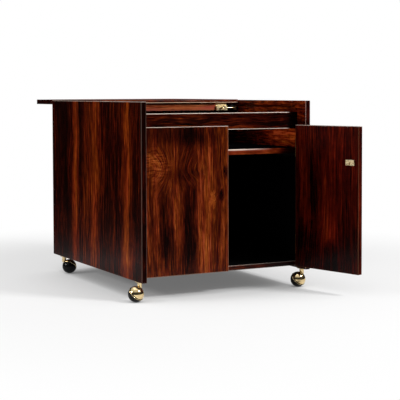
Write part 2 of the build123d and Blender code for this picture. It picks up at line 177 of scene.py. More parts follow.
class Graph:
    """Adds and links nodes in one shader tree."""

    def __init__(self, tree: NodeTree) -> None:
        """Keep the tree that nodes are added to."""
        self.tree = tree

    def add(self, kind: str, **settings: object) -> Node:
        """Add a node.

        Args:
            kind: Blender's node type name.
            settings: Attributes of the node to set.

        Returns:
            The new node.
        """
        node = self.tree.nodes.new(kind)
        for key, value in settings.items():
            setattr(node, key, value)
        return node

    def feed(self, socket: Socket, value: Value) -> None:
        """Link a socket to an output, or set its constant.

        Args:
            socket: The input.
            value: An output to link, or a constant.
        """
        if isinstance(value, Socket):
            self.tree.links.new(value, socket)
        else:
            socket.default_value = value

    def place(self) -> Socket:
        """Return the point on a piece, in the cart's frame at rest."""
        return self.add("ShaderNodeTexCoord").outputs["Object"]

    def math(self, operation: str, *values: Value, clamp: bool = False) -> Socket:
        """Add a math node.

        Args:
            operation: Blender's name of the operation.
            values: Sockets or numbers, in the node's order.
            clamp: Whether the result is held between 0 and 1.

        Returns:
            Its result.
        """
        node = self.add("ShaderNodeMath", operation=operation, use_clamp=clamp)
        for socket, value in zip(node.inputs, values):
            self.feed(socket, value)
        return node.outputs[0]

    def vector(self, operation: str, *values: Value) -> Socket:
        """Add a vector math node.

        Args:
            operation: Blender's name of the operation.
            values: Sockets or vectors, in the node's order.

        Returns:
            Its result, which is a number for a length.
        """
        node = self.add("ShaderNodeVectorMath", operation=operation)
        for socket, value in zip(node.inputs, values):
            self.feed(socket, value)
        return node.outputs["Value" if operation == "LENGTH" else "Vector"]

    def mix(self, factor: Value, first: Value, second: Value, blend: str = "MIX") -> Socket:
        """Mix two colours.

        Args:
            factor: The second colour's share.
            first: A colour or a socket.
            second: A colour or a socket.
            blend: Blender's name of the way they mix.

        Returns:
            The mixed colour.
        """
        node = self.add("ShaderNodeMix", data_type="RGBA", blend_type=blend, clamp_factor=True)
        self.feed(node.inputs[0], factor)
        for socket, value in ((node.inputs[6], first), (node.inputs[7], second)):
            self.feed(socket, (*value, 1.0) if isinstance(value, tuple) else value)
        return node.outputs[2]

    def tint(self, colour: Value, by: Rgb) -> Socket:
        """Return a colour times another."""
        return self.mix(1.0, colour, by, "MULTIPLY")

    def noise(self, point: Socket, grain: Grain) -> Socket:
        """Read a layer of noise.

        Args:
            point: Where it is read.
            grain: The layer.

        Returns:
            The noise, from 0 to 1.
        """
        node = self.add("ShaderNodeTexNoise", noise_dimensions="3D")
        self.feed(node.inputs["Vector"], self.vector("MULTIPLY", point, grain.scale))
        node.inputs["Scale"].default_value = 1.0
        node.inputs["Detail"].default_value = grain.octaves
        node.inputs["Roughness"].default_value = grain.rough
        return node.outputs["Fac"]

    def swing(self, point: Socket, grain: Grain) -> Socket:
        """Return a layer of noise that goes either way from zero, times its share."""
        return self.math("MULTIPLY", self.math("SUBTRACT", self.noise(point, grain), MIDDLE), grain.share)

    def span(
        self,
        value: Value,
        low: float,
        high: float,
        start: float = 0.0,
        end: float = 1.0,
        ease: str = "SMOOTHSTEP",
    ) -> Socket:
        """Map a value from one range to another.

        Args:
            value: What is mapped.
            low: Start of the first range.
            high: End of the first range.
            start: What low becomes.
            end: What high becomes.
            ease: Blender's name of the curve between them.

        Returns:
            The mapped value, held at the ends.
        """
        node = self.add("ShaderNodeMapRange", interpolation_type=ease, clamp=True)
        for socket, number in zip(node.inputs, (value, low, high, start, end)):
            self.feed(socket, number)
        return node.outputs[0]

    def ramp(self, factor: Socket, stops: RgbStops, ease: str = "LINEAR") -> Socket:
        """Read a colour ramp.

        Args:
            factor: Place on the ramp, from 0 to 1.
            stops: Places on the ramp and their colours.
            ease: Blender's name of the curve between them.

        Returns:
            The colour there.
        """
        node = self.add("ShaderNodeValToRGB")
        node.color_ramp.interpolation = ease
        elements = node.color_ramp.elements
        while len(elements) < len(stops):
            elements.new(1.0)
        for element, (place, colour) in zip(elements, stops):
            element.position = place
            element.color = (*colour, 1.0)
        self.feed(node.inputs[0], factor)
        return node.outputs[0]

    def split(self, point: Socket) -> tuple[Socket, Socket, Socket]:
        """Take a vector apart.

        Args:
            point: The vector.

        Returns:
            Its x, y and z.
        """
        node = self.add("ShaderNodeSeparateXYZ")
        self.feed(node.inputs[0], point)
        return node.outputs[0], node.outputs[1], node.outputs[2]

    def join(self, x: Value, y: Value, z: Value) -> Socket:
        """Put a vector together.

        Args:
            x: Its first part.
            y: Its second part.
            z: Its third part.

        Returns:
            The vector.
        """
        node = self.add("ShaderNodeCombineXYZ")
        for socket, value in zip(node.inputs, (x, y, z)):
            self.feed(socket, value)
        return node.outputs[0]

    def inward(self, point: Socket, low: Socket, high: Socket) -> tuple[Socket, Socket, Socket]:
        """Return how far a point lies inside a box, along each axis."""
        from_low = self.vector("SUBTRACT", point, low)
        return self.split(self.vector("MINIMUM", from_low, self.vector("SUBTRACT", high, point)))

    def group(self, tree: NodeTree, **values: Value) -> Node:
        """Place a node group and feed its inputs by name.

        Args:
            tree: The group.
            values: What goes into its inputs, by name.

        Returns:
            The group's node.
        """
        node = self.add("ShaderNodeGroup")
        node.node_tree = tree
        for name, value in values.items():
            self.feed(node.inputs[name], value)
        return node


def new_group(
    name: str, inputs: dict[str, str], outputs: dict[str, str]
) -> tuple[Graph, dict[str, Socket], Node]:
    """Start a shader node group.

    Args:
        name: The group's name.
        inputs: Names and socket types that go in.
        outputs: Names and socket types that come out.

    Returns:
        The graph, the input sockets by name, and the output node.
    """
    tree = bpy.data.node_groups.new(name, "ShaderNodeTree")
    for label, kind in inputs.items():
        tree.interface.new_socket(label, in_out="INPUT", socket_type="NodeSocket" + kind)
    for label, kind in outputs.items():
        tree.interface.new_socket(label, in_out="OUTPUT", socket_type="NodeSocket" + kind)
    graph = Graph(tree)
    entry = graph.add("NodeGroupInput")
    return graph, {label: entry.outputs[label] for label in inputs}, graph.add("NodeGroupOutput")


@dataclass(frozen=True)
class GrainWander:
    """Slow and quick waves that straight grain runs in."""

    slow: Grain = Grain((5.0, 2.4, 5.0), 2.0)
    quick: Grain = Grain((17.0, 7.0, 17.0), 2.0, share=0.35)

    def build(self) -> NodeTree:
        """Build the group that moves a point across the grain.

        Returns:
            The node group.
        """
        g, i, out = new_group("grain_wander", {"Point": "Vector", "Amount": "Float"}, {"Point": "Vector"})
        x, y, z = g.split(i["Point"])
        sway = g.math("ADD", g.swing(i["Point"], self.slow), g.swing(i["Point"], self.quick))
        g.feed(out.inputs[0], g.join(g.math("ADD", x, g.math("MULTIPLY", sway, i["Amount"])), y, z))
        return g.tree


@dataclass(frozen=True)
class RosewoodFigure:
    """Rosewood's strokes, hues, ink lines and pores."""

    broad: Grain = Grain((24.0, 1.8, 24.0), rough=0.6, share=0.85)
    middle: Grain = Grain((150.0, 6.5, 150.0), rough=0.6, share=0.95)
    fine: Grain = Grain((310.0, 12.0, 310.0), 2.0, 0.6)
    mottle: Grain = Grain((85.0, 34.0, 85.0), rough=0.6, share=0.5)
    tones: RgbStops = (
        (0.0, (0.0022, 0.0003, 0.0002)),
        (0.22, (0.0105, 0.0009, 0.0003)),
        (0.42, (0.042, 0.0042, 0.0008)),
        (0.58, (0.094, 0.0125, 0.0021)),
        (0.78, (0.225, 0.039, 0.0075)),
        (1.0, (0.40, 0.105, 0.026)),
    )
    hue: Grain = Grain((52.0, 4.5, 52.0), rough=0.6)
    hue_edge: Span = (0.4, 0.62)
    warm: Rgb = (1.0, 0.98, 0.62)
    ruddy: Rgb = (0.94, 0.66, 0.8)
    ink: Grain = Grain((34.0, 1.3, 34.0), 2.0)
    ink_width: float = 0.022
    ink_depth: float = 0.55
    ink_colour: Rgb = (0.004, 0.0008, 0.0006)
    pores: Grain = Grain((1250.0, 38.0, 1250.0), 1.0)
    pore_edge: Span = (0.58, 0.72)
    pore_depth: float = 0.6
    pore_colour: Rgb = (0.006, 0.0012, 0.0008)
    rough: float = 0.22
    rough_change: float = 0.12

    def build(self) -> NodeTree:
        """Build the group that draws figure on a point, x across the grain and y along it.

        Returns:
            The node group.
        """
        g, i, out = new_group(
            "rosewood_figure",
            {"Point": "Vector", "Lean": "Float", "Contrast": "Float", "Stroke": "Float"},
            {"Color": "Color", "Roughness": "Float", "Height": "Float"},
        )
        short = g.vector("MULTIPLY", i["Point"], g.join(1.0, i["Stroke"], 1.0))
        fine = g.swing(short, self.fine)
        bands = g.math("ADD", g.swing(i["Point"], self.broad), g.swing(short, self.middle))
        figure = g.math("ADD", bands, g.math("ADD", fine, g.swing(i["Point"], self.mottle)))
        level = g.math("ADD", i["Lean"], MIDDLE)
        tone = g.math("ADD", g.math("MULTIPLY", figure, i["Contrast"]), level, clamp=True)
        plain = g.ramp(tone, self.tones)
        hue = g.span(g.noise(i["Point"], self.hue), *self.hue_edge)
        colour = g.mix(hue, g.tint(plain, self.warm), g.tint(plain, self.ruddy))
        off_line = g.math("ABSOLUTE", g.swing(i["Point"], self.ink))
        colour = g.mix(g.span(off_line, 0.0, self.ink_width, self.ink_depth, 0.0), colour, self.ink_colour)
        pores = g.span(g.noise(i["Point"], self.pores), *self.pore_edge, 0.0, self.pore_depth)
        g.feed(out.inputs["Color"], g.mix(pores, colour, self.pore_colour))
        uneven = g.math("MULTIPLY", fine, self.rough_change)
        g.feed(out.inputs["Roughness"], g.math("ADD", uneven, self.rough))
        g.feed(out.inputs["Height"], g.math("SUBTRACT", 1.0, pores))
        return g.tree


@dataclass(frozen=True)
class SoftSpot:
    """Soft oval patch with a ragged edge."""

    ragged: Grain = Grain((38.0, 20.0, 38.0), share=1.1)
    core: float = 0.15

    def build(self) -> NodeTree:
        """Build the group that gives the patch round a point of a board.

        Returns:
            The node group.
        """
        g, i, out = new_group(
            "figure_and_painted_light_spot", {"Point": "Vector", "Middle": "Vector", "Reach": "Vector"}, {"Mask": "Float"}
        )
        away = g.vector("DIVIDE", g.vector("SUBTRACT", i["Point"], i["Middle"]), i["Reach"])
        far = g.math("ADD", g.vector("LENGTH", away), g.swing(i["Point"], self.ragged))
        g.feed(out.inputs[0], g.span(far, self.core, 1.0, 1.0, 0.0))
        return g.tree


@dataclass(frozen=True)
class CrotchFan:
    """Feather of grain that spreads up and down from a fork, in metres."""

    rise: float = 0.06
    fall: float = 0.045
    throat: float = 0.036
    drawn: float = 0.09
    lopsided: float = 0.035
    lift: float = 0.012
    mask_edge: float = 0.55

    def build(self, spot: NodeTree) -> NodeTree:
        """Build the group that bends a point into the feather, and says where it shows.

        Args:
            spot: The group of the soft patch.

        Returns:
            The node group.
        """
        g, i, out = new_group(
            "crotch_fan",
            {"Point": "Vector", "Middle": "Vector", "Reach": "Vector"},
            {"Point": "Vector", "Mask": "Float"},
        )
        aside, above, deep = g.split(g.vector("SUBTRACT", i["Point"], i["Middle"]))
        rise = g.math("DIVIDE", g.math("MAXIMUM", above, 0.0), self.rise)
        fall = g.math("DIVIDE", g.math("MINIMUM", above, 0.0), self.fall)
        bell = g.math("ADD", g.math("MULTIPLY", rise, rise), g.math("MULTIPLY", fall, fall))
        pinch = g.math("DIVIDE", 1.0, g.math("ADD", 1.0, bell))
        pull = g.math("TANH", g.math("DIVIDE", aside, self.throat))
        one_sided = g.math("MULTIPLY", g.math("MULTIPLY", pull, pull), self.lopsided)
        drawn_in = g.math("SUBTRACT", g.math("MULTIPLY", pull, self.drawn), one_sided)
        moved = g.math("ADD", aside, g.math("MULTIPLY", drawn_in, pinch))
        along = g.math("ADD", above, g.math("MULTIPLY", g.math("ABSOLUTE", aside), pinch))
        g.feed(out.inputs["Point"], g.join(moved, along, deep))
        lifted = g.vector("SUBTRACT", i["Point"], (0.0, self.lift, 0.0))
        spread = g.group(spot, Point=lifted, Middle=i["Middle"], Reach=i["Reach"])
        g.feed(out.inputs["Mask"], g.span(spread.outputs[0], 0.0, self.mask_edge))
        return g.tree


@dataclass(frozen=True)
class BoardArris:
    """Where a squared board's arrises lie, for the painted highlight lines on them."""

    ragged_width: Grain = Grain((30.0, 30.0, 30.0), 2.0, share=0.5)
    core: float = 0.35

    def build(self) -> NodeTree:
        """Build the group that finds where a point is near two faces of a box.

        Returns:
            The node group.
        """
        g, i, out = new_group(
            "board_arris",
            {"Point": "Vector", "Low": "Vector", "High": "Vector", "Width": "Float"},
            {"Mask": "Float"},
        )
        x, y, z = g.inward(i["Point"], i["Low"], i["High"])
        smallest = g.math("MINIMUM", x, g.math("MINIMUM", y, z))
        largest = g.math("MAXIMUM", x, g.math("MAXIMUM", y, z))
        total = g.math("ADD", g.math("ADD", x, y), z)
        second = g.math("SUBTRACT", total, g.math("ADD", smallest, largest))
        width = g.math("MULTIPLY", i["Width"], g.math("ADD", 1.0, g.swing(i["Point"], self.ragged_width)))
        g.feed(out.inputs[0], g.span(g.math("DIVIDE", second, width), self.core, 1.0, 1.0, 0.0))
        return g.tree


@dataclass(frozen=True)
class BlackSpace:
    """Faces inside a box, such as a black-lined compartment and faces painted black as painted shade."""

    def build(self) -> NodeTree:
        """Build the group that finds the faces.

        Returns:
            The node group.
        """
        g, i, out = new_group(
            "black_space", {"Point": "Vector", "Low": "Vector", "High": "Vector"}, {"Mask": "Float"}
        )
        x, y, z = g.inward(i["Point"], i["Low"], i["High"])
        g.feed(out.inputs[0], g.math("GREATER_THAN", g.math("MINIMUM", x, g.math("MINIMUM", y, z)), 0.0))
        return g.tree


@dataclass(frozen=True)
class MetalHandling:
    """Smears, specks and fine lines on handled metal."""

    smears: Grain = Grain((55.0, 55.0, 90.0), 4.0, 0.6)
    smear_edge: Span = (0.38, 0.66)
    specks: Grain = Grain((900.0, 900.0, 900.0), 1.0)
    speck_edge: Span = (0.62, 0.74)
    lines: Grain = Grain((260.0, 260.0, 2600.0), 2.0)

    def build(self) -> NodeTree:
        """Build the group of the marks.

        Returns:
            The node group.
        """
        g, i, out = new_group(
            "metal_handling", {"Point": "Vector"}, {"Smear": "Float", "Speck": "Float", "Height": "Float"}
        )
        g.feed(out.inputs["Smear"], g.span(g.noise(i["Point"], self.smears), *self.smear_edge))
        g.feed(out.inputs["Speck"], g.span(g.noise(i["Point"], self.specks), *self.speck_edge))
        g.feed(out.inputs["Height"], g.noise(i["Point"], self.lines))
        return g.tree


class SharedGroups:
    """Node groups that several finishes place with their own values."""

    def __init__(self) -> None:
        """Build every group once."""
        self.wander = GrainWander().build()
        self.rosewood = RosewoodFigure().build()
        self.spot = SoftSpot().build()
        self.fan = CrotchFan().build(self.spot)
        self.arris = BoardArris().build()
        self.black_faces = BlackSpace().build()
        self.handling = MetalHandling().build()


def start_material(name: str) -> tuple[Material, Graph, Node]:
    """Start a material.

    Args:
        name: Its name.

    Returns:
        The material, its graph and its Principled shader.
    """
    material = bpy.data.materials.new(name)
    material.use_nodes = True
    shader = next(node for node in material.node_tree.nodes if node.type == "BSDF_PRINCIPLED")
    return material, Graph(material.node_tree), shader


def bump(g: Graph, shader: Node, height: Socket, *, strength: float, distance: float) -> None:
    """Give a shader a bump.

    Args:
        g: The material's graph.
        shader: The shader.
        height: The bump's height, from 0 to 1.
        strength: Its share.
        distance: Its full height in metres.
    """
    node = g.add("ShaderNodeBump")
    node.inputs["Strength"].default_value = strength
    node.inputs["Distance"].default_value = distance
    g.feed(node.inputs["Height"], height)
    g.feed(shader.inputs["Normal"], node.outputs[0])


# These patches draw figure, and on the rail, the shelf and the right panel's inner face they draw painted
# light and painted shade.
@dataclass(frozen=True)
class FigureAndPaintedLightPatch:
    """A patch of the veneer, such as a burr or a knot, in metres on the board."""

    across: float
    along: float
    reach_across: float
    reach_along: float
    lean: float
    swirl: float = 0.0
    curl: float = 0.0
    curl_lines: ClassVar[Grain] = Grain((38.0, 185.0, 1.0), 2.0)
    ripples: ClassVar[Grain] = Grain((60.0, 42.0, 1.0), share=0.06)

    @property
    def middle(self) -> Point:
        """The patch's middle on the board."""
        return self.across, self.along, 0.0

    @property
    def reach(self) -> Point:
        """How far the patch goes, all through the board."""
        return self.reach_across, self.reach_along, THROUGH


@dataclass(frozen=True)
class Fork:
    """A crotch in the veneer, whose feather is finer and stronger than the grain beside it."""

    across: float
    along: float
    reach_across: float = 0.115
    reach_along: float = 0.12
    wander: float = 0.03
    tighter: float = 1.4
    stronger: float = 1.2
    shorter: float = 1.6


@dataclass(frozen=True)
class ArrisHighlights:
    """Painted highlights: pale lines on a board's arrises, with a top share for arrises that face up, as if
    lit from above, and a beside share for the rest.
    """

    top: float = 0.6
    beside: float = 0.18
    width: float = 0.0026
    top_colour: Rgb = (0.88, 0.72, 0.62)
    beside_colour: Rgb = (0.88, 0.72, 0.62)
    at_ends: bool = True
    at_foot: bool = True
    fade: Span | None = None
    box: Box | None = None


@dataclass(frozen=True)
class Veneer:
    """Lacquered rosewood on one board: its grain, its streaks, its patches and the painted highlights on its
    arrises.
    """

    name: str
    across: Axis
    along: Axis
    shift: Point
    lean: float = 0.0
    contrast: float = 1.0
    wander: float = 0.03
    streaks: Stops = ()
    spots: tuple[FigureAndPaintedLightPatch, ...] = ()
    fork: Fork | None = None
    tight: float = 1.0
    stroke: float = 1.0
    tint: Rgb = (1.0, 1.05, 0.95)
    gloss: float = 0.09
    edges: ArrisHighlights = ArrisHighlights()
    lipping: float = 0.0
    end_grain: float = 0.0
    level_inside: bool = False
    on_right_door: bool = False
    linings_and_painted_shade: tuple[Box, ...] = (CABINET_LINING,)

    def material(self, node: str, groups: SharedGroups) -> Material:
        """Return the material of a board, whose CAD node gives the ends and the arrises."""
        return BoardPainter(self, node, groups).paint()


class BoardPainter:
    """Draws one board's veneer: its figure, its painted arris highlights, and its black lining and the black
    painted over its shaded faces.
    """

    edge_face: ClassVar[Span] = (0.6, 0.9)
    top_face: ClassVar[Span] = (0.1, 0.5)
    inner_face: ClassVar[float] = -0.5
    # Black of the lining, also painted over faces as shade.
    lining_and_shade_black: ClassVar[Rgb] = (0.0016, 0.0016, 0.0018)
    lining_and_shade_rough: ClassVar[float] = 0.3

    def __init__(self, veneer: Veneer, node: str, groups: SharedGroups) -> None:
        """Start the material and find the board's ends and its points.

        Args:
            veneer: The board's veneer.
            node: The CAD node that wears it.
            groups: The shared node groups.
        """
        self.veneer = veneer
        self.groups = groups
        self.material, self.g, self.shader = start_material(veneer.name)
        self.place = self.g.place()
        self.low, self.high = corners(node)
        if veneer.on_right_door:
            self.place = self._swung_shut()
            self.low, self.high = shut_corners(node)
        self.across, self.along = veneer.across.value, veneer.along.value
        self.deep = sum(axis.value for axis in Axis) - self.across - self.along
        self.parts = self.g.split(self.place)
        self.plain = self._laid(self.across, self.along)
        self.normal = self.g.split(self.g.add("ShaderNodeNewGeometry").outputs["Normal"])

    def paint(self) -> Material:
        """Draw the board's wood, its painted arris highlights, and its lining and painted black shade.

        Returns:
            The material.
        """
        g, shader = self.g, self.shader
        point = self._grain_point()
        point, lean = self._spotted(point, self._streaked(point))
        figured, wood = self._figured(point, self._faced(lean))
        colour = self._edged(g.tint(figured, self.veneer.tint))
        lined_and_shaded = self._lining_and_shade_mask()
        g.feed(shader.inputs["Base Color"], g.mix(lined_and_shaded, colour, self.lining_and_shade_black))
        duller = g.math("MULTIPLY", lined_and_shaded, self.lining_and_shade_rough)
        g.feed(shader.inputs["Roughness"], g.math("ADD", wood.outputs["Roughness"], duller))
        bump(g, shader, wood.outputs["Height"], strength=0.08, distance=0.0002)
        shader.inputs["Specular IOR Level"].default_value = self.veneer.gloss
        return self.material

    def _swung_shut(self) -> Socket:
        """Swing the point on the right door back to where the door is shut.

        Returns:
            The swung point.
        """
        turn = self.g.add("ShaderNodeVectorRotate", rotation_type="Z_AXIS")
        self.g.feed(turn.inputs["Vector"], self.place)
        turn.inputs["Center"].default_value = DOOR_PIVOT
        turn.inputs["Angle"].default_value = -DOOR_ANGLE
        return turn.outputs[0]

    def _laid(self, across: int, along: int) -> Socket:
        """Return the point with x across the grain and y along it."""
        return self.g.join(self.parts[across], self.parts[along], self.parts[self.deep])

    def _grain_point(self) -> Socket:
        """Shift and sway the board's point into its own stretch of wood.

        Returns:
            The point that the grain is drawn on.
        """
        g, veneer = self.g, self.veneer
        laid = self.plain
        if veneer.level_inside:
            inside = g.math("LESS_THAN", self.normal[self.deep], self.inner_face)
            laid = g.mix(inside, laid, self._laid(self.along, self.across))
        return self._swayed(laid, veneer.wander)

    def _swayed(self, point: Socket, amount: float) -> Socket:
        """Return a point in the board's own stretch of wood, swayed by an amount."""
        moved = self.g.vector("ADD", point, self.veneer.shift)
        return self.g.group(self.groups.wander, Point=moved, Amount=amount).outputs[0]

    def _streaked(self, point: Socket) -> Value:
        """Find how light the wood is from the streaks across the board.

        Args:
            point: The grain's point.

        Returns:
            The lightness.
        """
        g, veneer = self.g, self.veneer
        if not veneer.streaks:
            return veneer.lean
        swayed = g.math("SUBTRACT", g.split(point)[0], veneer.shift[0])
        across = g.span(swayed, self.low[self.across], self.high[self.across], ease="LINEAR")
        band = g.ramp(across, greys(veneer.streaks), "CARDINAL")
        return g.math("ADD", g.math("SUBTRACT", band, MIDDLE), veneer.lean)

    def _spotted(self, point: Socket, lean: Value) -> tuple[Socket, Value]:
        """Put the listed patches into the grain.

        Args:
            point: The grain's point.
            lean: How light the wood is.

        Returns:
            The grain's point and the lightness.
        """
        g = self.g
        # A patch's lean lightens or darkens the wood: figure on most boards, and painted light and shade on
        # the rail, the shelf and the right panel.
        for spot in self.veneer.spots:
            mask = g.group(
                self.groups.spot, Point=self.plain, Middle=spot.middle, Reach=spot.reach
            ).outputs[0]
            lean = g.math("ADD", lean, g.math("MULTIPLY", mask, spot.lean))
            if spot.curl:
                lines = g.swing(self.plain, spot.curl_lines)
                lean = g.math("ADD", lean, g.math("MULTIPLY", lines, g.math("MULTIPLY", mask, spot.curl)))
            if spot.swirl:
                above = g.split(g.vector("SUBTRACT", self.plain, spot.middle))[1]
                pull = g.math("MULTIPLY", g.math("MULTIPLY", mask, spot.swirl), above)
                ripple = g.math("MULTIPLY", g.swing(self.plain, spot.ripples), mask)
                point = g.vector("ADD", point, g.join(g.math("ADD", pull, ripple), 0.0, 0.0))
        return point, lean

    def _faced(self, lean: Value) -> Value:
        """Change the lightness on the long edges and the ends.

        Args:
            lean: How light the wood is.

        Returns:
            The lightness.
        """
        for axis, change in ((self.across, self.veneer.lipping), (self.along, self.veneer.end_grain)):
            if change:
                facing = self.g.math("ABSOLUTE", self.normal[axis])
                lean = self.g.math("ADD", lean, self.g.span(facing, *self.edge_face, 0.0, change))
        return lean

    def _figured(self, point: Socket, lean: Value) -> tuple[Socket, Node]:
        """Draw the figure, with the feather of a fork.

        Args:
            point: The grain's point.
            lean: How light the wood is.

        Returns:
            The colour, and the node of the plain wood.
        """
        g, veneer, fork = self.g, self.veneer, self.veneer.fork
        wood = self._wood(point, lean, veneer.tight, veneer.contrast, veneer.stroke)
        if fork is None:
            return wood.outputs["Color"], wood
        fan = g.group(
            self.groups.fan,
            Point=self.plain,
            Middle=(fork.across, fork.along, 0.0),
            Reach=(fork.reach_across, fork.reach_along, THROUGH),
        )
        feather = self._wood(
            self._swayed(fan.outputs["Point"], fork.wander),
            lean,
            veneer.tight * fork.tighter,
            veneer.contrast * fork.stronger,
            veneer.stroke * fork.shorter,
        )
        return g.mix(fan.outputs["Mask"], wood.outputs["Color"], feather.outputs["Color"]), wood

    def _wood(self, point: Socket, lean: Value, tight: float, contrast: float, stroke: float) -> Node:
        """Return rosewood drawn on a point.

        Args:
            point: The grain's point.
            lean: How light the wood is.
            tight: How close the strokes lie across the grain.
            contrast: How strong they are.
            stroke: How short they are.

        Returns:
            The rosewood group's node.
        """
        drawn = self.g.vector("MULTIPLY", point, (tight, 1.0, self.veneer.tight))
        return self.g.group(
            self.groups.rosewood, Point=drawn, Lean=lean, Contrast=contrast, Stroke=stroke
        )

    def _edged(self, colour: Socket) -> Socket:
        """Paint highlight lines on the arrises.

        Args:
            colour: The wood's colour.

        Returns:
            The colour with painted highlight lines on the arrises.
        """
        g, edges = self.g, self.veneer.edges
        low, high = self.low.copy(), self.high.copy()
        if not edges.at_ends:
            low[self.along] -= FAR
            high[self.along] += FAR
        if not edges.at_foot:
            low.z -= FAR
        box = edges.box or (tuple(low), tuple(high))
        arris = g.group(self.groups.arris, Point=self.place, Low=box[0], High=box[1], Width=edges.width)
        # Painted highlight: arrises that face up take the top share and colour, as if lit from above, and the
        # others take the beside share and colour.
        upward = self.normal[Axis.Z.value]
        worn = g.math("MULTIPLY", arris.outputs[0], g.span(upward, *self.top_face, edges.beside, edges.top))
        if edges.fade:
            worn = g.math("MULTIPLY", worn, g.span(self.parts[self.along], *edges.fade, 1.0, 0.0))
        highlight_colour = g.mix(g.span(upward, *self.top_face), edges.beside_colour, edges.top_colour)
        return g.mix(worn, colour, highlight_colour)

    def _lining_and_shade_mask(self) -> Socket:
        """Find where the board is black: its lining, and black painted as shade.

        Returns:
            A mask of the lined faces and the faces painted black as shade.
        """
        lined_and_shaded: Value = 0.0
        for low, high in self.veneer.linings_and_painted_shade:
            inside = self.g.group(self.groups.black_faces, Point=self.place, Low=low, High=high).outputs[0]
            lined_and_shaded = self.g.math("MAXIMUM", lined_and_shaded, inside)
        return lined_and_shaded


@dataclass(frozen=True)
class BlackStain:
    """Satin black stained wood."""

    name: str = "black_stained_wood"
    grain: Grain = Grain((160.0, 9.0, 160.0))
    dark: Rgb = (0.0025, 0.0022, 0.0022)
    light: Rgb = (0.010, 0.0075, 0.006)
    rough: Span = (0.38, 0.52)
    gloss: float = 0.25

    def material(self, groups: SharedGroups) -> Material:
        """Make the material.

        Args:
            groups: The shared node groups.

        Returns:
            The material.
        """
        material, g, shader = start_material(self.name)
        place = g.place()
        grain = g.noise(place, self.grain)
        smear = g.group(groups.handling, Point=place).outputs["Smear"]
        g.feed(shader.inputs["Base Color"], g.mix(grain, self.dark, self.light))
        g.feed(shader.inputs["Roughness"], g.span(smear, 0.0, 1.0, *self.rough))
        bump(g, shader, grain, strength=0.1, distance=0.0002)
        shader.inputs["Specular IOR Level"].default_value = self.gloss
        return material


@dataclass(frozen=True)
class BallBlack:
    """Hard gloss black of the casters' wheels, scuffed where they roll."""

    name: str = "gloss_black_ball"
    dark: Rgb = (0.0035, 0.0033, 0.0032)
    scuffed: Rgb = (0.016, 0.014, 0.012)
    rough: Span = (0.12, 0.3)
    gloss: float = 0.16

    def material(self, groups: SharedGroups) -> Material:
        """Make the material.

        Args:
            groups: The shared node groups.

        Returns:
            The material.
        """
        material, g, shader = start_material(self.name)
        use = g.group(groups.handling, Point=g.place())
        g.feed(shader.inputs["Base Color"], g.mix(use.outputs["Speck"], self.dark, self.scuffed))
        g.feed(shader.inputs["Roughness"], g.span(use.outputs["Smear"], 0.0, 1.0, *self.rough))
        bump(g, shader, use.outputs["Height"], strength=0.03, distance=0.0001)
        shader.inputs["Specular IOR Level"].default_value = self.gloss
        return material


@dataclass(frozen=True)
class Felt:
    """Dark felt with a short nap."""

    name: str = "glide_felt"
    fibres: Grain = Grain((1400.0, 900.0, 1400.0), 4.0, 0.7)
    dark: Rgb = (0.006, 0.008, 0.006)
    light: Rgb = (0.03, 0.035, 0.027)
    rough: float = 0.95
    sheen: float = 0.3

    def material(self) -> Material:
        """Make the material.

        Returns:
            The material.
        """
        material, g, shader = start_material(self.name)
        fibre = g.noise(g.place(), self.fibres)
        g.feed(shader.inputs["Base Color"], g.mix(fibre, self.dark, self.light))
        bump(g, shader, fibre, strength=0.5, distance=0.0006)
        shader.inputs["Roughness"].default_value = self.rough
        shader.inputs["Sheen Weight"].default_value = self.sheen
        return material


@dataclass(frozen=True)
class FittingMetal:
    """Solid metal with smears and fine lines from use."""

    metal: Metal
    colour: Rgb
    dull: Rgb
    rough: Span
    fine: float = 1.0
    smear_share: float = 0.55
    speck_share: float = 0.5

    def material(self, groups: SharedGroups) -> Material:
        """Make the material.

        Args:
            groups: The shared node groups.

        Returns:
            The material.
        """
        material, g, shader = start_material(self.metal.value)
        point = g.vector("MULTIPLY", g.place(), (self.fine, self.fine, self.fine))
        use = g.group(groups.handling, Point=point)
        smear = g.math("MULTIPLY", use.outputs["Smear"], self.smear_share)
        tone = g.math("MAXIMUM", smear, g.math("MULTIPLY", use.outputs["Speck"], self.speck_share))
        g.feed(shader.inputs["Base Color"], g.mix(tone, self.colour, self.dull))
        g.feed(shader.inputs["Roughness"], g.span(use.outputs["Smear"], 0.0, 1.0, *self.rough))
        bump(g, shader, use.outputs["Height"], strength=0.03, distance=0.0001)
        shader.inputs["Metallic"].default_value = 1.0
        return material


class Finishes:
    """Finishes that several sub-assemblies share."""

    def __init__(self, groups: SharedGroups) -> None:
        """Make each material once.

        Args:
            groups: The shared node groups.
        """
        self.groups = groups
        self.brass = FittingMetal(
            Metal.BRASS, colour=(0.95, 0.75, 0.42), dull=(0.66, 0.45, 0.19), rough=(0.06, 0.16)
        ).material(groups)
        self.worn = FittingMetal(
            Metal.WORN_BRASS, colour=(0.98, 0.84, 0.52), dull=(0.66, 0.44, 0.19), rough=(0.55, 0.26), fine=3.2
        ).material(groups)
        self.aged = FittingMetal(
            Metal.AGED_BRASS, colour=(0.36, 0.24, 0.10), dull=(0.13, 0.085, 0.04), rough=(0.3, 0.5), fine=2.0
        ).material(groups)
        self.steel = FittingMetal(
            Metal.STEEL, colour=(0.55, 0.54, 0.52), dull=(0.40, 0.39, 0.38), rough=(0.2, 0.35)
        ).material(groups)
        self.black = BlackStain().material(groups)
        self.ball = BallBlack().material(groups)
        self.felt = Felt().material()


def dress(material: Material, *nodes: str) -> None:
    """Put a material on CAD nodes.

    Args:
        material: The finish.
        nodes: The nodes' names.
    """
    for name in nodes:
        slots = frame["nodes"][name].data.materials
        slots.clear()
        slots.append(material)
        LOG.info("%s wears %s", name, material.name)


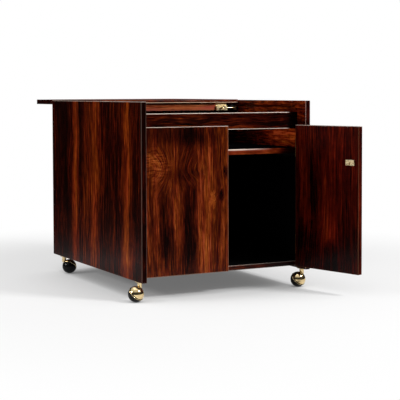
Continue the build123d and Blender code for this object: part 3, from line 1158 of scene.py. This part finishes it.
def add_piece(name: str, mesh: Mesh, material: Material, body: str) -> None:
    """Turn a finished mesh into a piece that rides on a body.

    Args:
        name: The piece's name.
        mesh: Its mesh, which is freed.
        material: Its finish.
        body: The body that carries it.
    """
    bmesh.ops.recalc_face_normals(mesh, faces=mesh.faces)
    data = bpy.data.meshes.new(name)
    mesh.to_mesh(data)
    mesh.free()
    data.materials.append(material)
    piece = bpy.data.objects.new(name, data)
    bpy.context.scene.collection.objects.link(piece)
    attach(piece, body)
    LOG.info("%s rides on %s", name, body)


@dataclass
class ScrewSet:
    """Slotted countersunk screw heads on one body."""

    name: str
    body: str
    places: tuple[Placing, ...]
    radius: float
    crown: float = 0.0004
    proud: float = 0.00008
    sunk: float = 0.0006
    slot_half: float = 0.15
    slot_depth: float = 0.0004
    columns: int = 12
    rows: tuple[float, ...] = (-1.0, -0.9, -0.62, -0.36, -0.2, -0.12, 0.12, 0.2, 0.36, 0.62, 0.9, 1.0)
    first_turn: float = 0.7
    next_turn: float = 1.9
    weld: float = 1e-7

    def build(self, material: Material) -> None:
        """Make the heads as one piece that rides on the body.

        Args:
            material: Their metal.
        """
        mesh = bmesh.new()
        for number, (place, normal) in enumerate(self.places):
            turn = self.first_turn + self.next_turn * number
            self._head(mesh, Vector(place), Vector(normal).normalized(), turn)
        add_piece(self.name, mesh, material, self.body)

    def _head(self, mesh: Mesh, place: Vector, normal: Vector, turn: float) -> None:
        """Add one crowned head with a slot across it, closed below the plate.

        Args:
            mesh: The mesh that the head is added to.
            place: The head's middle on the plate.
            normal: Where the head faces.
            turn: How far the slot is turned.
        """
        side = normal.orthogonal().normalized()
        side.rotate(Quaternion(normal, turn))
        other = normal.cross(side)
        grid: list[list[bmesh.types.BMVert]] = []
        for step in self.rows:
            reach = math.sqrt(max(0.0, 1.0 - step * step))
            grid.append([])
            for column in range(self.columns + 1):
                along = (2.0 * column / self.columns - 1.0) * reach
                lift = self.proud + self.crown * (1.0 - along * along - step * step)
                if abs(step) < self.slot_half:
                    lift -= self.slot_depth
                flat = (side * along + other * step) * self.radius
                grid[-1].append(mesh.verts.new(place + flat + normal * lift))
        top = []
        for first, second in zip(grid, grid[1:]):
            for square in zip(first, first[1:], second[1:], second):
                top.append(mesh.faces.new(square))
                top[-1].smooth = True
        bmesh.ops.remove_doubles(mesh, verts=[vert for row in grid for vert in row], dist=self.weld)
        rim = [edge for face in top if face.is_valid for edge in face.edges if edge.is_boundary]
        skirt = bmesh.ops.extrude_edge_only(mesh, edges=rim)["geom"]
        low = [piece for piece in skirt if isinstance(piece, bmesh.types.BMVert)]
        bmesh.ops.translate(mesh, verts=low, vec=normal * -self.sunk)
        sides = [piece for piece in skirt if isinstance(piece, bmesh.types.BMEdge)]
        bmesh.ops.contextual_create(mesh, geom=[edge for edge in sides if edge.is_boundary])


@dataclass
class Carcass:
    """Side panels, boards, runners and the strips fixed to them."""

    left_streaks: Stops = (
        (0.0, 0.37), (0.06, 0.38), (0.135, 0.75), (0.19, 0.48), (0.23, 0.32), (0.31, 0.40),
        (0.38, 0.35), (0.43, 0.53), (0.48, 0.70), (0.54, 0.57), (0.60, 0.50), (0.65, 0.32),
        (0.675, 0.56), (0.72, 0.75), (0.76, 0.38), (0.82, 0.28), (0.92, 0.24), (1.0, 0.35),
    )
    left_spots: tuple[FigureAndPaintedLightPatch, ...] = (
        FigureAndPaintedLightPatch(0.27, 0.16, 0.14, 0.12, 0.14),
        FigureAndPaintedLightPatch(-0.22, 0.12, 0.2, 0.1, 0.14),
    )
    # Painted light and shade on the right panel's inner face: a lit patch and a lit band in the slot under
    # the rail, painted shade deeper in, and a lit patch above the rail.
    right_spots: tuple[FigureAndPaintedLightPatch, ...] = (
        FigureAndPaintedLightPatch(-0.23, 0.470, 0.15, 0.06, 0.30),
        FigureAndPaintedLightPatch(-0.24, 0.485, 0.20, 0.018, 0.16),
        FigureAndPaintedLightPatch(0.00, 0.470, 0.17, 0.06, -0.34),
        FigureAndPaintedLightPatch(-0.20, 0.550, 0.30, 0.06, 0.3),
    )
    # Painted shade over the rail's right half, and the right panel's painted shadow on its right end.
    rail_painted_shadows: tuple[FigureAndPaintedLightPatch, ...] = (
        FigureAndPaintedLightPatch(0.525, 0.20, 0.09, 0.15, -0.22),
        FigureAndPaintedLightPatch(0.525, 0.268, 0.12, 0.028, -0.6),
    )
    # Painted shadow of the open right door on the shelf's front edge at its right end.
    shelf_painted_shadow: tuple[FigureAndPaintedLightPatch, ...] = (FigureAndPaintedLightPatch(-0.314, 0.275, 0.6, 0.11, -0.5),)

    def dress(self, finishes: Finishes) -> None:
        """Give each board its own veneer, stain or felt.

        Args:
            finishes: The finishes that the cart's pieces share.
        """
        for node, veneer in {**self._panels(), **self._boards(), **self._runners()}.items():
            dress(veneer.material(node, finishes.groups), node)
        dress(finishes.black, "shelf_cleat_left", "shelf_cleat_right", "lid_stop")
        dress(finishes.felt, "deck_glide_left", "deck_glide_right")
        dress(finishes.brass, *(f"caster_{corner}_socket" for corner in CORNERS))

    def _panels(self) -> dict[str, Veneer]:
        """List the veneers of the side panels and the back.

        Returns:
            The veneers by node.
        """
        low = corners("right_side")[0]
        # The painted highlight goes only on the right panel's inner front arris.
        inner_front = (low.x, low.y, 0.0), (FAR, FAR, FAR)
        return {
            # This panel's low lean is painted shade: it keeps the side as dark as a side turned from the key,
            # against the fill lamp that lights it.
            "left_side": Veneer(
                "left_side_veneer", Axis.Y, Axis.Z, (0.4, 1.7, 0.0),
                lean=-0.11, contrast=0.9, wander=0.05, streaks=self.left_streaks, spots=self.left_spots,
                tint=(1.0, 0.95, 0.65), gloss=0.03, lipping=-0.14,
                edges=ArrisHighlights(beside=0.12, beside_colour=(0.62, 0.42, 0.34)),
            ),
            "right_side": Veneer(
                "right_side_veneer", Axis.Y, Axis.Z, (3.1, 0.2, 0.0),
                lean=-0.04, spots=self.right_spots, stroke=2.0, tint=(0.95, 0.68, 0.5),
                lipping=-0.28, level_inside=True,
                edges=ArrisHighlights(beside=0.5, width=0.002, beside_colour=(0.6, 0.36, 0.3), box=inner_front),
            ),
            "back_panel": Veneer("back_veneer", Axis.X, Axis.Z, (7.2, 3.3, 0.0), lean=-0.05),
        }

    def _boards(self) -> dict[str, Veneer]:
        """List the veneers of the boards between the sides.

        Returns:
            The veneers by node.
        """
        return {
            "front_rail": Veneer(
                "rail_veneer", Axis.Z, Axis.X, (1.7, 4.0, 0.0),
                lean=-0.10, contrast=1.15, wander=0.05, spots=self.rail_painted_shadows,
                # The fade stops the painted highlight lines short of the rail's right end, which lies in the
                # right panel's painted shadow.
                edges=ArrisHighlights(top=0.9, beside=0.8, at_ends=False, fade=(0.235, 0.25)),
            ),
            "bottom_panel": Veneer(
                "bottom_veneer", Axis.Z, Axis.X, (2.2, 1.0, 0.0),
                lean=-0.2, edges=ArrisHighlights(top=0.35, at_ends=False),
            ),
            "shelf": Veneer(
                "shelf_veneer", Axis.Y, Axis.X, (5.2, 1.3, 0.0),
                lean=0.18, contrast=0.6, spots=self.shelf_painted_shadow, tint=(1.0, 1.05, 1.5), gloss=0.0,
                # Painted highlight lines on the shelf's front arrises, fading out towards its right end,
                # where shade falls.
                edges=ArrisHighlights(
                    top=0.85, beside=0.76, width=0.0056, at_ends=False, at_foot=False, fade=(0.06, 0.19)
                ),
                linings_and_painted_shade=(CABINET_LINING, SHELF_TOP_PAINTED_SHADE),
            ),
            "rear_deck": Veneer(
                "deck_veneer", Axis.Y, Axis.X, (6.2, 2.3, 0.0),
                lean=0.1, contrast=0.6, linings_and_painted_shade=(CABINET_LINING, DECK_EDGE_PAINTED_SHADE),
            ),
        }

    def _runners(self) -> dict[str, Veneer]:
        """List the veneers of the lid's runners.

        Returns:
            The veneers by node.
        """
        return {
            runner: Veneer(
                f"{runner}_veneer", Axis.Z, Axis.Y, (9.1, 0.7, 0.0),
                lean=-0.04, contrast=0.8, gloss=0.0, edges=ArrisHighlights(top=0.0, beside=0.0),
            )
            for runner in ("lid_runner_left", "lid_runner_right")
        }


@dataclass
class SlidingTop:
    """The lid with its batten, guide and barrel bolt."""

    lip: float = 0.011
    plate_t: float = 0.0015
    screw_radius: float = 0.0022
    screw_drop: float = 0.0045
    screw_inset: float = 0.006

    def dress(self, finishes: Finishes) -> None:
        """Give the lid and the batten their veneers and the bolt its brass.

        Args:
            finishes: The finishes that the cart's pieces share.
        """
        low, high = corners("lid_panel")
        # The lip box puts a strong painted highlight, a white line, along the lower front arris of the lid's
        # lip.
        lip = (-FAR, low.y, high.z - self.lip), (FAR, FAR, FAR)
        lid = Veneer(
            "lid_veneer", Axis.Y, Axis.X, (8.2, 0.3, 0.0),
            lean=0.16, contrast=0.95, wander=0.05, gloss=0.04, end_grain=-0.5,
            edges=ArrisHighlights(top=0.06, beside=0.95, width=0.0034, beside_colour=(0.88, 0.62, 0.44), box=lip),
        )
        batten = Veneer(
            "batten_veneer", Axis.Z, Axis.X, (2.7, 6.3, 0.0),
            lean=0.36, contrast=0.6, tint=(1.02, 1.05, 2.2), edges=ArrisHighlights(top=0.2, beside=0.05),
        )
        dress(lid.material("lid_panel", finishes.groups), "lid_panel")
        dress(batten.material("lid_batten", finishes.groups), "lid_batten")
        dress(finishes.black, "lid_guide")
        dress(finishes.worn, "lid_bolt_case", "lid_bolt_staple")
        dress(finishes.brass, "lid_bolt")

    def fix(self, finishes: Finishes) -> None:
        """Add the screws of the bolt's plate.

        Args:
            finishes: The finishes that the cart's pieces share.
        """
        low, high = corners("lid_bolt_case")
        y, z = high.y - self.plate_t, high.z - self.screw_drop
        row = low.x + self.screw_inset, (low.x + high.x) / 2, high.x - self.screw_inset
        places = tuple(((x, y, z), (0.0, -1.0, 0.0)) for x in row)
        ScrewSet("lid_bolt_screws", "lid", places, self.screw_radius).build(finishes.worn)


@dataclass
class Doors:
    """Both doors, their hinges and the lock."""

    left_streaks: Stops = (
        (0.0, 0.46), (0.08, 0.52), (0.2, 0.52), (0.3, 0.5), (0.4, 0.50), (0.50, 0.36),
        (0.58, 0.40), (0.68, 0.68), (0.75, 0.66), (0.83, 0.50), (0.92, 0.52), (1.0, 0.55),
    )
    left_spots: tuple[FigureAndPaintedLightPatch, ...] = (
        # curl by the hinges and shade round the fork
        FigureAndPaintedLightPatch(-0.236, 0.402, 0.065, 0.08, 0.16, curl=1.25),
        FigureAndPaintedLightPatch(-0.110, 0.480, 0.06, 0.035, -0.08),
        FigureAndPaintedLightPatch(-0.150, 0.368, 0.075, 0.03, -0.13),
        FigureAndPaintedLightPatch(-0.069, 0.468, 0.03, 0.05, -0.12),
        # knots by the meeting edge, and its dark line
        FigureAndPaintedLightPatch(-0.010, 0.302, 0.014, 0.034, -0.45, swirl=0.5),
        FigureAndPaintedLightPatch(-0.036, 0.292, 0.018, 0.034, 0.2, swirl=0.3),
        FigureAndPaintedLightPatch(0.0075, 0.374, 0.014, 0.034, -0.35, swirl=0.4),
        FigureAndPaintedLightPatch(0.0035, 0.290, 0.0016, 0.60, -0.4),
        # dark and pale bands below
        FigureAndPaintedLightPatch(-0.207, 0.235, 0.026, 0.13, -0.24),
        FigureAndPaintedLightPatch(-0.200, 0.155, 0.034, 0.09, -0.3),
        FigureAndPaintedLightPatch(-0.123, 0.250, 0.028, 0.13, -0.2),
        FigureAndPaintedLightPatch(-0.122, 0.150, 0.036, 0.10, -0.2),
        FigureAndPaintedLightPatch(-0.158, 0.220, 0.022, 0.15, 0.14),
        FigureAndPaintedLightPatch(-0.150, 0.495, 0.24, 0.06, -0.2),
        FigureAndPaintedLightPatch(-0.070, 0.140, 0.022, 0.09, 0.08),
        FigureAndPaintedLightPatch(-0.002, 0.200, 0.011, 0.16, 0.22),
        FigureAndPaintedLightPatch(-0.259, 0.200, 0.012, 0.20, 0.18),
    )
    right_spots: tuple[FigureAndPaintedLightPatch, ...] = (
        # pale arch with a dark heart, in darker wood
        FigureAndPaintedLightPatch(0.145, 0.130, 0.200, 0.11, -0.16),
        FigureAndPaintedLightPatch(0.198, 0.300, 0.024, 0.12, -0.24),
        FigureAndPaintedLightPatch(0.128, 0.150, 0.070, 0.10, 0.24),
        FigureAndPaintedLightPatch(0.128, 0.110, 0.042, 0.085, -0.36),
        FigureAndPaintedLightPatch(0.235, 0.150, 0.05, 0.11, -0.22),
        FigureAndPaintedLightPatch(0.130, 0.440, 0.03, 0.09, 0.03),
    )
    leaf_t: float = 0.0012
    leaf_pitch: float = 0.02
    frame_inset: float = 0.009  # screws from a frame leaf's rear end
    door_inset: float = 0.008  # screws from a door leaf's rear end
    hinge_screw: float = 0.0024
    flush: float = 0.00013
    lock_inset: float = 0.0042
    lock_screw: float = 0.0019
    plate_pitch: float = 0.0075
    plate_screw: float = 0.0014

    def dress(self, finishes: Finishes) -> None:
        """Give the doors their veneers and the fittings their metals.

        Args:
            finishes: The finishes that the cart's pieces share.
        """
        left = Veneer(
            "left_door_veneer", Axis.X, Axis.Z, (0.9, 2.6, 0.0),
            lean=0.01, contrast=0.9, streaks=self.left_streaks, spots=self.left_spots,
            fork=Fork(-0.168, 0.385), tight=1.75, stroke=1.5,
            edges=ArrisHighlights(top=0.8, beside=0.26, beside_colour=(0.7, 0.38, 0.22)),
        )
        right = Veneer(
            "right_door_veneer", Axis.X, Axis.Z, (4.3, 5.5, 0.0),
            lean=-0.11, contrast=0.8, wander=0.035, spots=self.right_spots, stroke=0.8,
            tint=(1.0, 0.54, 0.64), on_right_door=True,
            edges=ArrisHighlights(beside=0.16, beside_colour=(0.42, 0.17, 0.08)),
        )
        dress(left.material("left_door", finishes.groups), "left_door")
        dress(right.material("right_door", finishes.groups), "right_door")
        dress(finishes.worn, "door_lock_case", "door_strike", "door_escutcheon", "door_key")
        dress(finishes.brass, "door_lock_bolt")
        for hinge in HINGES:
            dress(finishes.aged, f"hinge_{hinge}_frame_leaf", f"hinge_{hinge}_door_leaf")
            dress(finishes.steel, f"hinge_{hinge}_pin")

    def fix(self, finishes: Finishes) -> None:
        """Add the screws of the hinges and of the lock."""
        self._fix_hinges(finishes.aged)
        self._fix_lock(finishes.worn)

    def _fix_hinges(self, metal: Material) -> None:
        """Add the screws of the hinges' leaves.

        Args:
            metal: The screws' metal.
        """
        left, right = self._door_leaf_screws()
        for name, body, places in (
            ("hinge_screws", "carcass", tuple(self._frame_leaf_screws())),
            ("left_leaf_screws", "left_door", tuple(left)),
            ("right_leaf_screws", "right_door", opened(right)),
        ):
            ScrewSet(name, body, places, self.hinge_screw, self.flush).build(metal)

    def _fix_lock(self, metal: Material) -> None:
        """Add the screws of the strike, the lock's case and the escutcheon.

        Args:
            metal: The screws' metal.
        """
        low, high = corners("door_strike")
        middle = (low.x + high.x) / 2
        ends = low.z + self.lock_inset, high.z - self.lock_inset
        strike = tuple(((middle, high.y, z), (0.0, 1.0, 0.0)) for z in ends)
        ScrewSet("strike_screws", "left_door", strike, self.lock_screw).build(metal)
        low, high = shut_corners("door_lock_case")
        sides = low.x + self.lock_inset, high.x - self.lock_inset
        ends = low.z + self.lock_inset, high.z - self.lock_inset
        case = [((x, high.y, z), (0.0, 1.0, 0.0)) for x in sides for z in ends]
        ScrewSet("lock_screws", "right_door", opened(case), self.lock_screw).build(metal)
        low, high = shut_corners("door_escutcheon")
        middle, z = (low.x + high.x) / 2, (low.z + high.z) / 2
        sides = middle - self.plate_pitch, middle + self.plate_pitch
        plate = [((x, low.y, z), (0.0, -1.0, 0.0)) for x in sides]
        ScrewSet("escutcheon_screws", "right_door", opened(plate), self.plate_screw, self.flush).build(metal)

    def _frame_leaf_screws(self) -> list[Placing]:
        """Find the screws in the leaves on the side panels.

        Returns:
            Their places and normals.
        """
        places = []
        for hinge in HINGES:
            low, high = corners(f"hinge_{hinge}_frame_leaf")
            on_left = hinge.startswith("left")
            x = low.x + self.leaf_t if on_left else high.x - self.leaf_t
            inward = (1.0 if on_left else -1.0, 0.0, 0.0)
            y = high.y - self.frame_inset
            places += [((x, y, z), inward) for z in self._screw_heights(low, high)]
        return places

    def _door_leaf_screws(self) -> tuple[list[Placing], list[Placing]]:
        """Find the screws in the leaves on the doors, with both doors shut.

        Returns:
            The places and normals on the left door and on the right door.
        """
        left: list[Placing] = []
        right: list[Placing] = []
        for hinge in HINGES:
            leaf = f"hinge_{hinge}_door_leaf"
            if hinge.startswith("left"):
                low, high = corners(leaf)
                x, outward, places = corners("left_door")[0].x - self.leaf_t, (-1.0, 0.0, 0.0), left
            else:
                low, high = shut_corners(leaf)
                x, outward, places = shut_corners("right_door")[1].x + self.leaf_t, (1.0, 0.0, 0.0), right
            y = high.y - self.door_inset
            places += [((x, y, z), outward) for z in self._screw_heights(low, high)]
        return left, right

    def _screw_heights(self, low: Vector, high: Vector) -> tuple[float, float, float]:
        """Return the heights of a leaf's three screws."""
        middle = (low.z + high.z) / 2
        return middle - self.leaf_pitch, middle, middle + self.leaf_pitch


@dataclass
class Casters:
    """Four ball casters with the rolled rims of their hoods."""

    rim_radius: float = 0.0008
    rim_rise: float = 0.0014
    rim_steps: int = 72
    rim_sides: int = 12

    def dress(self, finishes: Finishes) -> None:
        """Give the casters polished brass hoods, black wheels and steel axles.

        Args:
            finishes: The finishes that the cart's pieces share.
        """
        for corner in CORNERS:
            dress(finishes.brass, f"caster_{corner}_hood")
            dress(finishes.ball, f"caster_{corner}_wheel")
            dress(finishes.steel, f"caster_{corner}_axle")

    def trim(self, finishes: Finishes) -> None:
        """Add the rolled rim round each hood's mouth, square to the axle.

        Args:
            finishes: The finishes that the cart's pieces share.
        """
        for corner in CORNERS:
            roll = joint(f"caster_{corner}_roll")
            axle = Vector(roll["axis"]).normalized()
            middle = Vector(roll["pos_m"])
            mesh = self._rim(middle + axle * self.rim_rise, axle, middle.z)
            add_piece(f"caster_{corner}_rim", mesh, finishes.brass, f"caster_{corner}_swivel")

    def _rim(self, middle: Vector, axle: Vector, radius: float) -> Mesh:
        """Make a ring of round section.

        Args:
            middle: The ring's middle.
            axle: The line that it is square to.
            radius: The ball's radius, which is its middle's height over the floor.

        Returns:
            The ring's mesh.
        """
        side = axle.orthogonal().normalized()
        other = axle.cross(side)
        mesh = bmesh.new()
        rings = []
        for step in range(self.rim_steps):
            turn = math.tau * step / self.rim_steps
            outward = side * math.cos(turn) + other * math.sin(turn)
            ring = []
            for number in range(self.rim_sides):
                lean = math.tau * number / self.rim_sides
                reach = outward * (radius + self.rim_radius * math.cos(lean))
                ring.append(mesh.verts.new(middle + reach + axle * self.rim_radius * math.sin(lean)))
            rings.append(ring)
        for first, second in zip(rings, rings[1:] + rings[:1]):
            for a, b, c, d in zip(first, first[1:] + first[:1], second[1:] + second[:1], second):
                mesh.faces.new((a, d, c, b)).smooth = True
        return mesh


def seen_directly(g: Graph) -> Socket:
    """Tell what is seen from what is lit.

    Args:
        g: The material's graph.

    Returns:
        1 for rays from the camera, from metal and through glass, and 0 for light.
    """
    path = g.add("ShaderNodeLightPath")
    seen = g.math("MAXIMUM", path.outputs["Is Camera Ray"], path.outputs["Is Glossy Ray"])
    return g.math("MAXIMUM", seen, path.outputs["Is Transmission Ray"])


def instead(g: Graph, test: str, shown: Socket, other: Socket) -> Socket:
    """Return one value for rays of a kind that Light Path names, and another for the rest."""
    passed = g.add("ShaderNodeLightPath").outputs[test]
    return g.math("ADD", other, g.math("MULTIPLY", passed, g.math("SUBTRACT", shown, other)))


@dataclass(frozen=True)
class Floor:
    """Plain white floor that keeps the shadow, in metres."""

    half: float = 30.0
    paint: Grain = Grain((4.0, 4.0, 4.0))
    paint_dark: Rgb = (0.86, 0.86, 0.86)
    paint_light: Rgb = (0.88, 0.88, 0.88)
    rough: float = 0.9
    white_from: Span = (0.75, 1.6)
    white_near: float = 0.6
    shade_samples: int = 16
    shade_reach: float = 0.55
    shade_clear: float = 0.85
    shade_level: float = 0.24
    mirror_from: Span = (0.5, 0.9)
    mirror_near: float = 0.12
    sheet: Stops = ((0.0, 1.0), (0.15, 1.0), (0.24, 0.25), (0.4, 0.06), (1.0, 0.01))
    sheet_reach: float = 4.0

    def build(self) -> None:
        """Lay the floor."""
        data = bpy.data.meshes.new("studio_floor")
        ends = ((-1, -1), (1, -1), (1, 1), (-1, 1))
        data.from_pydata([(x * self.half, y * self.half, 0.0) for x, y in ends], [], [(0, 1, 2, 3)])
        data.materials.append(self._material())
        floor = bpy.data.objects.new("studio_floor", data)
        bpy.context.scene.collection.objects.link(floor)

    def _material(self) -> Material:
        """Make matt paint that turns into white light away from the cart, with a painted shadow near it.

        Returns:
            The material.
        """
        material, g, shader = start_material("studio_floor_paint")
        place = g.place()
        paint = g.mix(g.noise(place, self.paint), self.paint_dark, self.paint_light)
        g.feed(shader.inputs["Base Color"], paint)
        shader.inputs["Roughness"].default_value = self.rough
        shader.inputs["Specular IOR Level"].default_value = 0.0
        away = g.vector("LENGTH", place)
        sheet = g.ramp(g.math("DIVIDE", away, self.sheet_reach, clamp=True), greys(self.sheet), "EASE")
        # Painted shadow: ambient occlusion darkens the white that the camera sees under and round the cart.
        contact = g.add("ShaderNodeAmbientOcclusion", samples=self.shade_samples)
        contact.inputs["Distance"].default_value = self.shade_reach
        shade = g.span(contact.outputs["AO"], 0.0, self.shade_clear, self.shade_level, 1.0)
        white = g.add("ShaderNodeEmission")
        g.feed(white.inputs["Strength"], instead(g, "Is Camera Ray", shade, sheet))
        far = g.span(away, *self.white_from, self.white_near, 1.0)
        mirrored = g.span(away, *self.mirror_from, self.mirror_near, 1.0)
        lit = instead(g, "Is Glossy Ray", mirrored, far)
        mixer = g.add("ShaderNodeMixShader")
        g.feed(mixer.inputs[0], g.math("MULTIPLY", lit, seen_directly(g)))
        g.feed(mixer.inputs[1], shader.outputs[0])
        g.feed(mixer.inputs[2], white.outputs[0])
        output = next(node for node in material.node_tree.nodes if node.type == "OUTPUT_MATERIAL")
        g.feed(output.inputs["Surface"], mixer.outputs[0])
        return material


@dataclass(frozen=True)
class World:
    """World that lights softly, shows white, and is dark low down in reflections."""

    strength: float = 0.16
    reflected: Stops = ((0.0, 0.02), (0.4, 0.04), (0.8, 0.7))

    def build(self) -> None:
        """Set the world up."""
        world = bpy.data.worlds.new("studio_world")
        world.use_nodes = True
        bpy.context.scene.world = world
        g = Graph(world.node_tree)
        output = next(node for node in world.node_tree.nodes if node.type == "OUTPUT_WORLD")
        soft = next(node for node in world.node_tree.nodes if node.type == "BACKGROUND")
        soft.inputs["Color"].default_value = (1.0, 1.0, 1.0, 1.0)
        soft.inputs["Strength"].default_value = self.strength
        white = g.add("ShaderNodeBackground")
        white.inputs["Strength"].default_value = 1.0
        up = g.split(g.add("ShaderNodeTexCoord").outputs["Generated"])[2]
        studio = g.ramp(up, greys(self.reflected), "EASE")
        camera_ray = g.add("ShaderNodeLightPath").outputs["Is Camera Ray"]
        g.feed(white.inputs["Color"], g.mix(camera_ray, studio, (1.0, 1.0, 1.0)))
        mixer = g.add("ShaderNodeMixShader")
        g.feed(mixer.inputs[0], seen_directly(g))
        g.feed(mixer.inputs[1], soft.outputs[0])
        g.feed(mixer.inputs[2], white.outputs[0])
        g.feed(output.inputs["Surface"], mixer.outputs[0])


@dataclass(frozen=True)
class Lamp:
    """A soft panel of light, in metres and watts."""

    name: str
    place: Point
    aim: Point
    size: Span
    power: float

    def build(self) -> None:
        """Hang the panel and turn it to its aim."""
        lamp = bpy.data.lights.new(self.name, "AREA")
        lamp.shape = "RECTANGLE"
        lamp.size, lamp.size_y = self.size
        lamp.energy = self.power
        holder = bpy.data.objects.new(self.name, lamp)
        holder.location = self.place
        toward = Vector(self.aim) - Vector(self.place)
        holder.rotation_euler = toward.to_track_quat("-Z", "Y").to_euler()
        bpy.context.scene.collection.objects.link(holder)


@dataclass(frozen=True)
class Camera:
    """Camera at the photograph's viewing angle: metres, degrees, and millimetres of lens."""

    place: Point = (-1.7161, -3.4375, 0.6191)
    yaw: float = 27.758
    pitch: float = 2.875
    roll: float = -0.166
    lens: float = 104.66
    sensor: float = 36.0
    shift: float = -0.125
    clip_end: float = 200.0

    def build(self) -> None:
        """Place the camera and make it the scene's."""
        yaw, pitch = math.radians(self.yaw), math.radians(self.pitch)
        level = math.cos(pitch)
        forward = Vector((math.sin(yaw) * level, math.cos(yaw) * level, -math.sin(pitch)))
        turn = forward.to_track_quat("-Z", "Y").to_matrix().to_4x4()
        data = bpy.data.cameras.new("photo_camera")
        data.sensor_width = self.sensor
        data.lens = self.lens
        data.shift_y = self.shift
        data.clip_end = self.clip_end
        camera = bpy.data.objects.new("photo_camera", data)
        tilt = Matrix.Rotation(math.radians(self.roll), 4, "Z")
        camera.matrix_world = Matrix.Translation(self.place) @ turn @ tilt
        bpy.context.scene.collection.objects.link(camera)
        bpy.context.scene.camera = camera


@dataclass(frozen=True)
class Studio:
    """White studio round the cart."""

    lamps: tuple[Lamp, ...] = (
        Lamp("key_panel", (1.85, -2.84, 2.95), (0.0, 0.0, 0.3), (0.8, 0.8), 150.0),
        Lamp("fill_panel", (-3.0, 0.35, 1.42), (0.0, 0.0, 0.45), (0.9, 0.5), 46.0),
        Lamp("top_panel", (-0.2, 0.1, 2.7), (0.0, 0.0, 0.3), (2.2, 2.2), 12.0),
    )

    def build(self) -> None:
        """Set up the floor, the light and the camera."""
        Floor().build()
        World().build()
        for lamp in self.lamps:
            lamp.build()
        Camera().build()
        bpy.context.scene.view_settings.view_transform = "Standard"
        LOG.info("studio is set up")


def main() -> None:
    """Build and dress the cart, piece by piece."""
    logging.basicConfig(level=logging.INFO, format="%(name)s: %(message)s")
    Studio().build()
    finishes = Finishes(SharedGroups())
    top, doors, casters = SlidingTop(), Doors(), Casters()
    Carcass().dress(finishes)
    top.dress(finishes)
    top.fix(finishes)
    doors.dress(finishes)
    doors.fix(finishes)
    casters.dress(finishes)
    casters.trim(finishes)


if __name__ == "__main__":
    main()
